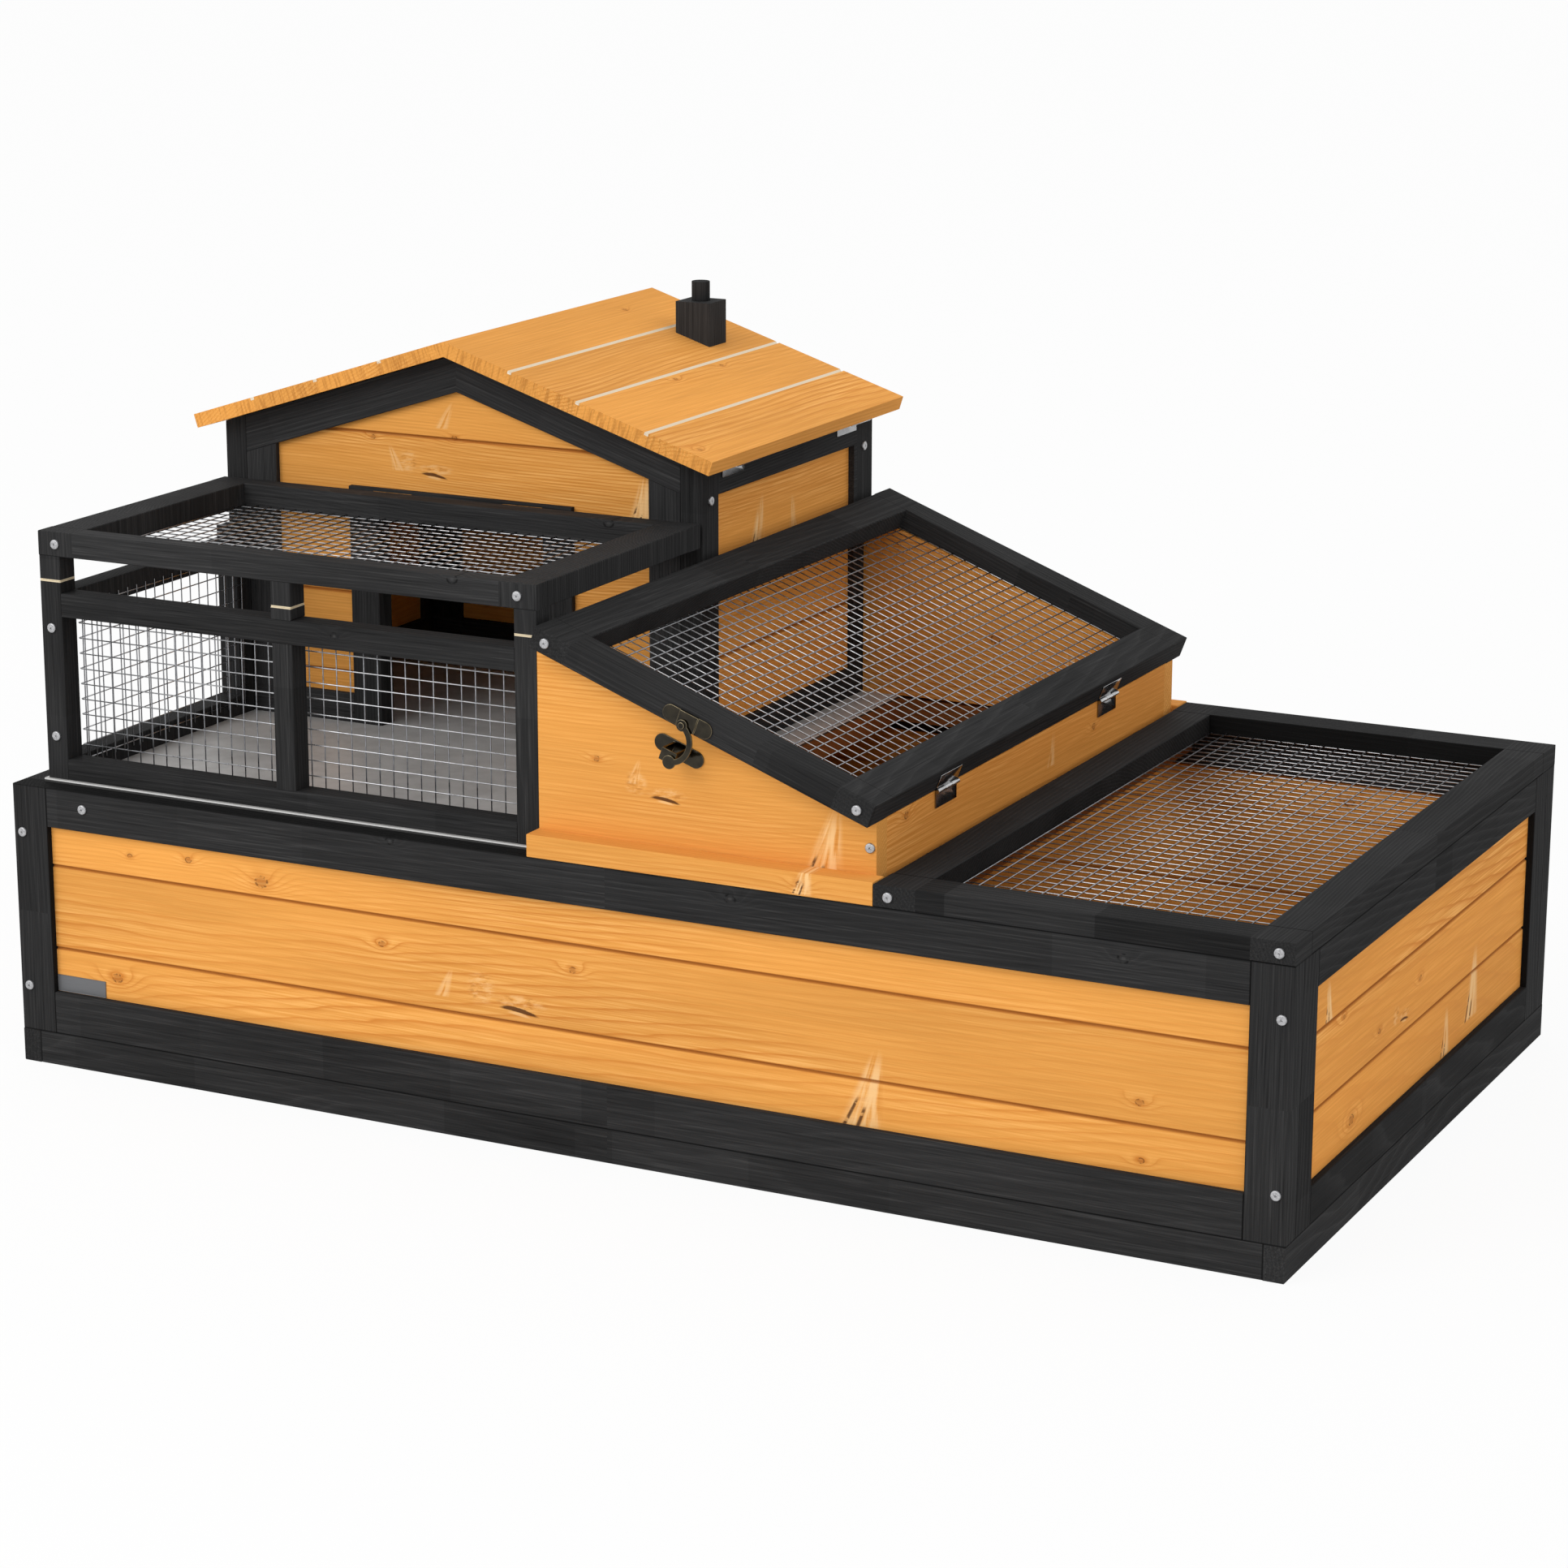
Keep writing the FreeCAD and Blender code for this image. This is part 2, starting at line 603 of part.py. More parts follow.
def house():
    """Four walls of the house, with a doorway in the front gable."""
    sides = [
        ("right", HOUSE_FRONT_STILE, HOUSE_BACK_STILE, Vector(UPPER_RIGHT, HOUSE_FRONT, DECK), FACING_RIGHT),
        ("left", HOUSE_BACK_STILE, HOUSE_FRONT_STILE, Vector(UPPER_LEFT, HOUSE_BACK, DECK), FACING_LEFT),
    ]
    for side, left_stile, right_stile, corner, turn in sides:
        frame, boards = house_side(left_stile, right_stile)
        save("house_" + side + "_frame", moved(frame, corner, turn))
        save("house_" + side + "_boards", moved(boards, corner, turn))

    half = gable_frame()
    stile = UPPER_LEFT + TIMBER + GABLE_STILE
    door_left = RIDGE_X - DOOR_WIDTH / 2 - DOOR_POST
    sill = DECK + HOUSE_LOW_RAIL
    lintel_top = DECK + DOOR_HEIGHT + LINTEL
    count = int((roof_under(RIDGE_X) - DECK) // BOARD_COVER) + 1
    grooves = [DECK + FIRST_GROOVE + index * BOARD_COVER for index in range(count)]

    low_rail = bar(stile, door_left, 0, TIMBER, DECK, sill)
    front_half = half + [low_rail]
    front = front_half + mirrored(front_half, RIDGE_X)
    forward = Vector(0, HOUSE_FRONT, 0)
    save("gable_frame", moved(front, forward))
    beside = board_rows(stile, door_left, sill, lintel_top, grooves)
    boards = beside + mirrored(beside, RIDGE_X) + gable_top(lintel_top, grooves)
    save("gable_boards", moved(boards, forward))
    post = bar(door_left, door_left + DOOR_POST, 0, TIMBER, DECK, lintel_top - LINTEL)
    lintel = bar(door_left, 2 * RIDGE_X - door_left, 0, TIMBER, lintel_top - LINTEL, lintel_top)
    save("door_frame", moved([post, lintel] + mirrored([post], RIDGE_X), forward))

    sill_rail = bar(stile, 2 * RIDGE_X - stile, 0, TIMBER, DECK, sill)
    behind = Vector(2 * RIDGE_X, HOUSE_BACK, 0)
    back = half + mirrored(half, RIDGE_X) + [sill_rail]
    save("house_back_frame", moved(back, behind, FACING_BACK))
    save("house_back_boards", moved(gable_top(sill, grooves), behind, FACING_BACK))


def roof_slope():
    """Boards and battens of the right slope, drawn flat from the ridge and tilted to the pitch."""
    length = (HOUSE_WIDTH / 2 + EAVE_OVERHANG) / PITCH_COS
    joints = [0, FIRST_ROOF_BOARD, FIRST_ROOF_BOARD + ROOF_BOARD, FIRST_ROOF_BOARD + 2 * ROOF_BOARD, length]
    plumb = ROOF * PITCH_SIN / PITCH_COS
    place = Placement(Vector(RIDGE_X, 0, roof_under(RIDGE_X)), Rotation(Y, PITCH))
    boards = []
    for index, (x0, x1) in enumerate(zip(joints, joints[1:])):
        outline = [(x0, 0), (x1, 0)]
        if x1 == length:
            outline += [(x1, ROOF)]
        else:
            outline += [(x1, ROOF - GROOVE), (x1 - GROOVE, ROOF)]
        if index == 0:
            outline += [(-plumb, ROOF)]
        else:
            outline += [(x0 + GROOVE, ROOF), (x0, ROOF - GROOVE)]
        boards.append(placed(in_front_plane(outline, ROOF_FRONT, ROOF_BACK), place))
    end = (HOUSE_WIDTH / 2 - TIMBER - ROOF_BATTEN_END) / PITCH_COS
    first = HOUSE_FRONT + TIMBER + ROOF_BATTEN_INSET
    last = HOUSE_BACK - TIMBER - ROOF_BATTEN_INSET - ROOF_BATTEN_WIDTH
    battens = [
        placed(block(RIDGE_CLEARANCE, end, y, y + ROOF_BATTEN_WIDTH, -ROOF_BATTEN_THICKNESS, 0), place)
        for y in (first, last)]
    return boards, battens


def roof():
    """Two slopes of boards, the battens under them and the chimney."""
    boards, battens = roof_slope()
    save("roof_right_boards", boards)
    save("roof_left_boards", mirrored(boards, RIDGE_X))
    save("roof_battens", battens + mirrored(battens, RIDGE_X))

    x0 = RIDGE_X + CHIMNEY_FROM_RIDGE
    x1 = x0 + CHIMNEY_WIDTH
    back = ROOF_BACK - CHIMNEY_FROM_BACK
    cover = ROOF / PITCH_COS
    top = roof_under(x0) + cover + CHIMNEY_HEIGHT
    outline = [(x0, roof_under(x0) + cover), (x1, roof_under(x1) + cover), (x1, top), (x0, top)]
    stack = in_front_plane(outline, back - CHIMNEY_DEPTH, back)
    save("chimney_block", [eased(stack, Z)])
    foot = Vector((x0 + x1) / 2, back - CHIMNEY_DEPTH / 2, top)
    save("chimney_pot", [Part.makeCylinder(POT_RADIUS, POT_HEIGHT, foot)])


def middle_section():
    """Panels of the sloping middle section and the ledges they stand behind."""
    left = UPPER_RIGHT
    right = MIDDLE_RIGHT
    rest = SEAT / SLOPE_COS
    outline = [
        (left, DECK), (right, DECK), (right, lid_under(right) - rest), (left, lid_under(left) - rest)]
    save("middle_front_panel", [in_front_plane(outline, MIDDLE_FRONT, MIDDLE_FRONT + MIDDLE_PANEL)])
    save("middle_back_panel", [in_front_plane(outline, MIDDLE_BACK - MIDDLE_PANEL, MIDDLE_BACK)])
    inner = right - TIMBER
    wall = [
        (inner, WALL_TOP), (right, WALL_TOP), (right, lid_under(right) - rest),
        (inner, lid_under(inner) - rest)]
    save("middle_end_wall", [
        in_front_plane(wall, MIDDLE_FRONT + MIDDLE_PANEL, MIDDLE_BACK - MIDDLE_PANEL)])
    ledge_right = FLAT_LID_LEFT - LID_GAP
    top = WALL_TOP + LEDGE_HEIGHT
    save("front_ledge", [bar(left, ledge_right, 0, TIMBER, WALL_TOP, top)])
    save("back_ledge", [bar(left, ledge_right, DEPTH - TIMBER, DEPTH, WALL_TOP, top)])


def sloped_lid():
    """The hinged mesh lid over the middle section."""
    extents = (-SLOPED_LID_LENGTH, 0, SLOPED_LID_FRONT, SLOPED_LID_BACK)
    save("sloped_lid_rails", on_slope(lid_rails(
        *extents, 0, SLOPED_LID_THICKNESS, SLOPED_LID_END_RAIL, SLOPED_LID_SIDE_RAIL)))
    save("sloped_lid_mesh", on_slope([
        lid_mesh(*extents, 0, SLOPED_LID_END_RAIL, SLOPED_LID_SIDE_RAIL)]))


def flat_lid():
    """The mesh lid over the run."""
    extents = (FLAT_LID_LEFT, LENGTH, 0, DEPTH)
    save("flat_lid_rails", lid_rails(
        *extents, WALL_TOP, WALL_TOP + FLAT_LID_THICKNESS, FLAT_LID_RAIL, FLAT_LID_RAIL))
    save("flat_lid_mesh", [lid_mesh(*extents, WALL_TOP, FLAT_LID_RAIL, FLAT_LID_RAIL)])


def hinges():
    """Butt hinges of the roof and the three lids, all alike."""
    up_roof = Vector(PITCH_SIN, 0, PITCH_COS)
    down_roof = Vector(PITCH_COS, 0, -PITCH_SIN)
    up_lid = Vector(SLOPE_SIN, 0, SLOPE_COS)
    along_lid = Vector(-SLOPE_COS, 0, SLOPE_SIN)
    roof_x, roof_z = roof_axis()
    sloped_x, sloped_z = sloped_axis()
    flat_y, flat_z = flat_axis()
    balcony_y, balcony_z = balcony_axis()
    door_outer = DOOR_WIDTH / 2 + DOOR_POST - BALCONY_HINGE_INSET
    sets = {
        "roof_hinge_leaves": (
            [Vector(roof_x, y, roof_z)
             for y in (ROOF_FRONT + ROOF_HINGE_FROM_FRONT + LEAF_WIDTH / 2, HOUSE_BACK - ROOF_HINGE_FROM_BACK)],
            (-Z, -X), (down_roof, up_roof)),
        "sloped_lid_hinge_leaves": (
            [Vector(sloped_x, y, sloped_z)
             for y in (SLOPED_HINGE_FROM_FRONT, DEPTH - SLOPED_HINGE_FROM_BACK)],
            (-Z, -X), (up_lid, along_lid)),
        "flat_lid_hinge_leaves": (
            [Vector(x, flat_y, flat_z)
             for x in (FLAT_LID_LEFT + FLAT_HINGE_INSET, LENGTH - FLAT_HINGE_INSET)],
            (-Z, -Y), (Z, -Y)),
        "balcony_lid_hinge_leaves": (
            [Vector(RIDGE_X + side * door_outer, balcony_y, balcony_z) for side in (-1, 1)],
            (-Z, Y), (-Z, -Y)),
    }
    fixed_leaves = []
    for name, (pivots, fixed, moving) in sets.items():
        made = [hinge(pivot, fixed, moving) for pivot in pivots]
        fixed_leaves += [leaf for leaf, _ in made]
        save(name, [leaf for _, leaf in made])
    save("fixed_hinge_leaves", fixed_leaves)


def roof_axis():
    """x and z of the roof's hinge line, under the right eave and against the wall."""
    x = UPPER_RIGHT + KNUCKLE_RADIUS
    return x, roof_under(x) - KNUCKLE_RADIUS / PITCH_COS


def sloped_axis():
    """x and z of the sloped lid's hinge line, where the low wall's face meets the lid's end."""
    return MIDDLE_RIGHT + KNUCKLE_RADIUS, LOW_END.z + KNUCKLE_RADIUS * (SLOPE_COS - 1) / SLOPE_SIN


def flat_axis():
    """y and z of the flat lid's hinge line, behind the back wall."""
    return DEPTH + KNUCKLE_RADIUS, WALL_TOP


def balcony_axis():
    """y and z of the balcony lid's hinge line, between the lid and the door lintel."""
    return HOUSE_FRONT - KNUCKLE_RADIUS, BALCONY_LID_LOW + BALCONY_LID_THICKNESS - BALCONY_HINGE_DROP


def eared_plate(x, z, y0, y1):
    """A plate with round ends, lying along the slope of the lid."""
    half = EAR_SPACING / 2
    ends = [Part.makeCylinder(EAR_RADIUS, y1 - y0, Vector(x + side * half, y0, z), Y) for side in (-1, 1)]
    web = block(x - half, x + half, y0, y1, z - EAR_RADIUS, z + EAR_RADIUS)
    return web.multiFuse(ends).removeSplitter()


def hook_outline(x, z):
    """The curved arm of the hook: a band between two arcs from the eye down to the tab."""
    radius = ((HOOK_REACH / 2) ** 2 + HOOK_BULGE ** 2) / (2 * HOOK_BULGE)
    centre = Vector(x + HOOK_BULGE - radius, 0, z - HOOK_REACH / 2)
    sweep = math.atan2(HOOK_REACH / 2, radius - HOOK_BULGE)

    def point(distance, angle):
        return centre + Vector(math.cos(angle), 0, math.sin(angle)) * distance

    outer = radius + ARM_WIDTH / 2
    inner = radius - ARM_WIDTH / 2
    edges = [
        Part.Arc(point(outer, sweep), point(outer, 0), point(outer, -sweep)).toShape(),
        Part.LineSegment(point(outer, -sweep), point(inner, -sweep)).toShape(),
        Part.Arc(point(inner, -sweep), point(inner, 0), point(inner, sweep)).toShape(),
        Part.LineSegment(point(inner, sweep), point(outer, sweep)).toShape(),
    ]
    return Part.Face(Part.Wire(edges))


def latch():
    """Plate, rivet and hook on the lid's front, and the keeper on the panel below."""
    x = -LATCH_FROM_LOW_END
    z = RIVET_LIFT
    plate_x = x + PLATE_SHIFT
    plate_z = z + PLATE_RISE
    plate_front = SLOPED_LID_FRONT - PLATE
    plate = eared_plate(plate_x, plate_z, plate_front, SLOPED_LID_FRONT)
    half = PAD_LENGTH / 2
    pad = block(plate_x - half, plate_x + half, PAD_FRONT, plate_front,
                plate_z - EAR_RADIUS, plate_z + EAR_RADIUS)
    save("latch_plate", on_slope([plate.fuse(pad).removeSplitter()]))

    shank = Part.makeCylinder(RIVET_RADIUS, PAD_FRONT - RIVET_NECK, Vector(x, RIVET_NECK, z), Y)
    head = Part.makeCylinder(RIVET_HEAD_RADIUS, RIVET_HEAD, Vector(x, FRONT_MOST, z), Y)
    save("latch_rivet", on_slope([shank.fuse(head)]))

    front = HOOK_BACK - HOOK
    arm = hook_outline(x, z).extrude(Y * HOOK).translated(Y * front)
    eye = Part.makeCylinder(EYE_RADIUS, HOOK, Vector(x, front, z), Y)
    tab = Part.makeCylinder(TAB_RADIUS, HOOK, Vector(x, front, z - HOOK_REACH), Y)
    hole = Part.makeCylinder(RIVET_RADIUS + PIN_PLAY, HOOK, Vector(x, front, z), Y)
    save("latch_hook", on_slope([arm.multiFuse([eye, tab]).cut(hole).removeSplitter()]))

    keeper_x = x - KEEPER_SHIFT
    keeper_z = z - KEEPER_DROP
    seat = MIDDLE_FRONT - PLATE
    crown = HOOK_BACK + HOOK_CLEARANCE
    keeper = eared_plate(keeper_x, keeper_z, seat, MIDDLE_FRONT)
    half = BRIDGE_LENGTH / 2
    low = keeper_z - BRIDGE_WIDTH / 2
    high = keeper_z + BRIDGE_WIDTH / 2
    bridge = block(keeper_x - half, keeper_x + half, crown, seat, low, high)
    under = block(keeper_x - half + KEEPER_WALL, keeper_x + half - KEEPER_WALL,
                  crown + KEEPER_WALL, seat, low, high)
    save("latch_keeper", on_slope([keeper.fuse(bridge.cut(under)).removeSplitter()]))


def screws():
    """Screw heads that show on the outside, grouped by the piece that carries them."""
    top = WALL_TOP - POST_SCREW_TOP
    low = STRIP_HEIGHT + POST_SCREW_LOW
    posts = [(x, z) for x in (SCREW_EDGE, LENGTH - SCREW_EDGE) for z in (top, low)]
    base = [screw(Vector(x, 0, z), -Y) for x, z in posts]
    base.append(screw(Vector(LONG_POST + RAIL_SCREW_INSET, 0, WALL_TOP - RAIL_SCREW_DROP), -Y))
    middle_x = UPPER_LEFT + POST / 2
    for z in (DECK + POST_HEIGHT - BALCONY_SCREW_TOP, DECK + BALCONY_SCREW_LOW):
        base.append(screw(Vector(middle_x, BALCONY_FRONT, z), -Y))
    panel_screw = Vector(MIDDLE_RIGHT - PANEL_SCREW_INSET, MIDDLE_FRONT, WALL_TOP + PANEL_SCREW_RISE)
    base.append(screw(panel_screw, -Y))
    for y in (HOUSE_FRONT + HOUSE_SCREW_FRONT, HOUSE_BACK - HOUSE_SCREW_BACK):
        base.append(screw(Vector(UPPER_RIGHT, y, DECK + HOUSE_SCREW_RISE), X))
    save("base_screws", base)

    z = WALL_TOP + FLAT_LID_THICKNESS / 2
    save("flat_lid_screws", [
        screw(Vector(x, 0, z), -Y) for x in (FLAT_LID_LEFT + LID_SCREW_INSET, LENGTH - LID_SCREW_INSET)])
    z = BALCONY_LID_LOW + BALCONY_LID_THICKNESS / 2
    save("balcony_lid_screws", [
        screw(Vector(x, BALCONY_FRONT, z), -Y)
        for x in (UPPER_LEFT + BALCONY_LID_END_RAIL / 2, UPPER_RIGHT - BALCONY_LID_END_RAIL / 2)])
    z = SLOPED_LID_THICKNESS / 2
    save("sloped_lid_screws", on_slope([
        screw(Vector(x, SLOPED_LID_FRONT, z), -Y)
        for x in (-SLOPED_LID_LENGTH + LID_SCREW_INSET, -LID_SCREW_INSET)]))


os.makedirs("parts", exist_ok=True)
base_box()
upper_floor()
balcony()
balcony_lid()
house()
roof()
middle_section()
sloped_lid()
flat_lid()
hinges()
latch()
screws()
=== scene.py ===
# %% [markdown]
# A tortoise enclosure: a framed base run, a balcony, a gabled house, a sloping middle section and three mesh lids.
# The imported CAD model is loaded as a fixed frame. Its timbers stay as they are and get finishes here.
# Small things that a saw does not cut, such as round wires and screw heads, are modelled in this file.

# %% Load the frame
import math

import bpy
from mathutils import Matrix, Vector


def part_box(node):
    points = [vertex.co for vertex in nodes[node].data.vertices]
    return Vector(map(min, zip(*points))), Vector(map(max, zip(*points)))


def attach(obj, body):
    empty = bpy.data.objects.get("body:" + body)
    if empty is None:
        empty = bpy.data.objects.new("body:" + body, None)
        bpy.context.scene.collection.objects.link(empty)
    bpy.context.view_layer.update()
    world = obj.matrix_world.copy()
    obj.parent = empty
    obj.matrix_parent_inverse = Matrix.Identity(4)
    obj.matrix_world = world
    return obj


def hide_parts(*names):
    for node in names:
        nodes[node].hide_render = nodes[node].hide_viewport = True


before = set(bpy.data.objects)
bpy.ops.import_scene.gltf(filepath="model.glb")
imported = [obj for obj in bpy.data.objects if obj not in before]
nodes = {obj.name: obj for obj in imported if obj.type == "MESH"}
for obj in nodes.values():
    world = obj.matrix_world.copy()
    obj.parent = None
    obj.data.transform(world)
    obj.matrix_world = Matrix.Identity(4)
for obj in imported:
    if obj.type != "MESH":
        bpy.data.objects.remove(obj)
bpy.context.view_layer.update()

# %% [markdown]
# The camera stands where the photograph was taken from, to the right of the front and a little above.
# Its place and turn were worked out from the corners of the base, the lids and the roof.
# A long lens keeps the upright posts nearly parallel, as they are in the photograph.

# %% Camera
CAMERA_PLACE = Vector((1.4583, -2.9199, 1.0942))
CAMERA_LOOK = Vector((-0.433515, 0.863862, -0.256530)).normalized()
CAMERA_RIGHT = Vector((0.893569, 0.448923, 0.001683)).normalized()
CAMERA_LENS = 94.05
SENSOR = 36.0

camera_data = bpy.data.cameras.new("camera")
camera_data.lens = CAMERA_LENS
camera_data.sensor_width = SENSOR
camera = bpy.data.objects.new("camera", camera_data)
bpy.context.scene.collection.objects.link(camera)
camera_up = CAMERA_RIGHT.cross(CAMERA_LOOK)
turn = Matrix((CAMERA_RIGHT, camera_up, -CAMERA_LOOK)).transposed()
camera.matrix_world = Matrix.Translation(CAMERA_PLACE) @ turn.to_4x4()
bpy.context.scene.camera = camera
bpy.context.scene.view_settings.view_transform = "Standard"
print("camera at", [round(v, 3) for v in camera.location])

# %% [markdown]
# Finishes are node trees, and most of their maths is plain sums on numbers.
# One small class wraps a socket, so that a sum in Python adds the Math nodes by itself.
# Every other node comes from its node method: the settings are set first, then the sockets are filled or linked.

# %% Shader sums
class Field:
    """A number or colour that varies over a surface, held as a socket of a node tree."""

    def __init__(self, socket):
        self.socket = socket

    def node(self, kind, settings=None, inputs=None, out=0):
        """One output of a new node in this tree."""
        made = self.socket.id_data.nodes.new("ShaderNode" + kind)
        for name, value in (settings or {}).items():
            if name == "stops":
                ramp = made.color_ramp.elements
                while len(ramp) < len(value):
                    ramp.new(1.0)
                for stop, (place, level) in zip(ramp, value):
                    stop.position = place
                    stop.color = (level, level, level, 1.0)
            else:
                setattr(made, name, value)
        for slot, value in (inputs or {}).items():
            if isinstance(value, Field):
                self.socket.id_data.links.new(value.socket, made.inputs[slot])
            else:
                made.inputs[slot].default_value = value
        return Field(made.outputs[out])

    def math(self, operation, *others):
        """This number and others through a Math node."""
        return self.node("Math", {"operation": operation}, dict(enumerate((self, *others))))

    def __add__(self, other):
        return self.math("ADD", other)

    __radd__ = __add__

    def __mul__(self, other):
        return self.math("MULTIPLY", other)

    __rmul__ = __mul__

    def __sub__(self, other):
        return self.math("SUBTRACT", other)

    def __rsub__(self, other):
        return self.node("Math", {"operation": "SUBTRACT"}, {0: other, 1: self})

    def __truediv__(self, other):
        return self.math("DIVIDE", other)

    def __pow__(self, other):
        return self.math("POWER", other)

    def __abs__(self):
        return self.math("ABSOLUTE")

    def __gt__(self, other):
        return self.math("GREATER_THAN", other)

    def __lt__(self, other):
        return self.math("LESS_THAN", other)

    def along(self, direction):
        """How far a point lies in a direction."""
        return self.node("VectorMath", {"operation": "DOT_PRODUCT"}, {0: self, 1: tuple(direction)}, "Value")

    def fade(self, start, end):
        """Smooth step from 0 at the first value to 1 at the second."""
        settings = {"interpolation_type": "SMOOTHSTEP", "clamp": True}
        return self.node("MapRange", settings, {0: self, 1: start, 2: end, 3: 0.0, 4: 1.0})

    def between(self, first, second):
        """A blend of two colours, where this field is 0 and where it is 1."""
        inputs = {0: self, 6: colour(first), 7: colour(second)}
        return self.node("Mix", {"data_type": "RGBA", "clamp_factor": True}, inputs, 2)

    def tinted(self, factor):
        """This colour or place times a number."""
        return self.node("VectorMath", {"operation": "SCALE"}, {0: self, "Scale": factor})


def colour(value):
    """A colour for a socket: fields pass, and three numbers get their alpha."""
    return value if isinstance(value, Field) else (*value, 1.0)


def new_finish(name):
    """A material with its surface shader, and the place of a point on the piece."""
    material = bpy.data.materials.new(name)
    material.use_nodes = True
    shader = material.node_tree.nodes["Principled BSDF"]
    coordinates = material.node_tree.nodes.new("ShaderNodeTexCoord")
    return material, shader, Field(coordinates.outputs["Object"])


def feed(shader, **fields):
    """Link fields to the surface shader, or set plain numbers on its sockets."""
    for name, value in fields.items():
        socket = shader.inputs[name.replace("_", " ")]
        if isinstance(value, Field):
            shader.id_data.links.new(value.socket, socket)
        else:
            socket.default_value = value


def noise(place, detail=2.0, rough=0.5):
    """Soft noise from 0 to 1, one swell to a unit."""
    return place.node("TexNoise", {}, {"Vector": place, "Scale": 1.0, "Detail": detail, "Roughness": rough})


def point(u, v, w):
    """A place made of three numbers."""
    return u.node("CombineXYZ", {}, {0: u, 1: v, 2: w})


def chance(number):
    """A steady random number from 0 to 1 for each whole number."""
    return number.node("TexWhiteNoise", {"noise_dimensions": "1D"}, {"W": number})


def relief(height, depth):
    """A bump that stands this deep where the height is 1."""
    return height.node("Bump", {}, {"Strength": 1.0, "Distance": depth, "Height": height})


print("shader helpers ready")

# %% [markdown]
# Wood is a solid pattern: a board is cut out of a stack of growth rings, so its faces, edges and ends agree.
# Each timber has a lay: the direction of its grain, the direction across its face, and the direction through it.
# Rings are distances from a tilted heart line, which gives long arches on a board's face and curves on its ends.
# Fibres are much finer, and long in the direction of the grain.
# Each pattern has its swells to a metre, along and across.

# %% Grain of a timber
X, Y, Z = Vector((1, 0, 0)), Vector((0, 1, 0)), Vector((0, 0, 1))
RING_SPACING = 0.0029
HEART_DEPTH = 0.020
HEART_SPREAD = 0.05
HEART_TILT = 0.03
SWAY, WOBBLE, FIBRE, CLOUD = (1.6, 6.0), (11.0, 70.0), (12.0, 760.0), (3.2, 16.0)


def grain(u, v, w, piece, bend):
    """Late-wood lines, fibres and broad clouds from 0 to 1, for places along, across and through a timber."""
    shift = piece * 37.0

    def stretched(along, across):
        return point(u * along + shift, v * across, w * across)

    sway = noise(stretched(*SWAY))
    heart = v + (piece - 0.5) * HEART_SPREAD + (sway - 0.5) * 0.06
    depth = w + (piece * HEART_SPREAD + HEART_DEPTH) + u * HEART_TILT
    ring = (heart * heart + depth * depth) ** 0.5 + bend
    wobble = noise(stretched(*WOBBLE))
    turns = ring / RING_SPACING + wobble * 0.9
    late = turns.node(
        "ValToRGB", {"stops": [(0.0, 0.2), (0.4, 0.0), (0.75, 0.5), (0.92, 1.0), (1.0, 0.2)]},
        {0: turns.math("FRACT")})
    fibre = noise(stretched(*FIBRE), 3.0, 0.65)
    cloud = noise(stretched(*CLOUD), 3.0)
    return late, fibre, cloud


print("grain helper ready")

# %% [markdown]
# Knots, torn patches and flames are what make one board differ from the next.
# A knot pushes the rings aside and has a brown heart. A torn patch has a dark slit with pale crumbs round it.
# A flame is a pale wedge across the grain, where the plane met the fibres end on, with cracks at its foot.
# Each is a small shape in the plane of the board, and a board's list says where its own are.

# %% Knots, torn patches and flames
HONEY = (0.80, 0.355, 0.078)
HONEY_LATE = (0.58, 0.190, 0.028)
HONEY_PALE = (0.94, 0.530, 0.175)
HEART_BROWN = (0.36, 0.125, 0.030)
CRACK_BROWN = (0.085, 0.030, 0.012)
CREAM = (0.95, 0.610, 0.285)
TORN_LEAN = 0.12
TORN_PATCHES = ((-1.8, 0.70, 0.70, 0.75), (0.1, 0.32, 1.3, 0.34))
FOOT_CRACKS = ((-0.75, 0.40), (-0.15, 0.28))
SMALL_FLAME = 0.03


def spot(u, v, at, reach):
    """1 in the middle of an oval, and 0 well outside it."""
    across = (u - at[0]) / reach[0]
    up = (v - at[1]) / reach[1]
    return ((across * across + up * up) * -1.0).math("EXPONENT")


def with_knots(tone, u, v, knots):
    """Brown hearts in a darker halo, each with a broken rim, on a colour."""
    for x, y, size in knots:
        halo = spot(u, v, (x, y), (size * 1.6, size * 1.1))
        tone = (halo.fade(0.1, 0.7) * 0.35).between(tone, HONEY_LATE)
        heart = spot(u, v, (x, y), (size * 0.8, size * 0.62))
        tone = (heart.fade(0.25, 0.8) * 0.45).between(tone, HEART_BROWN)
        broken = noise(point(u * 330.0, v * 330.0, v * 0.0)).fade(0.42, 0.58)
        rim = heart.fade(0.22, 0.40) * heart.fade(0.68, 0.48) * broken
        tone = (rim * 0.7).between(tone, CRACK_BROWN)
    return tone


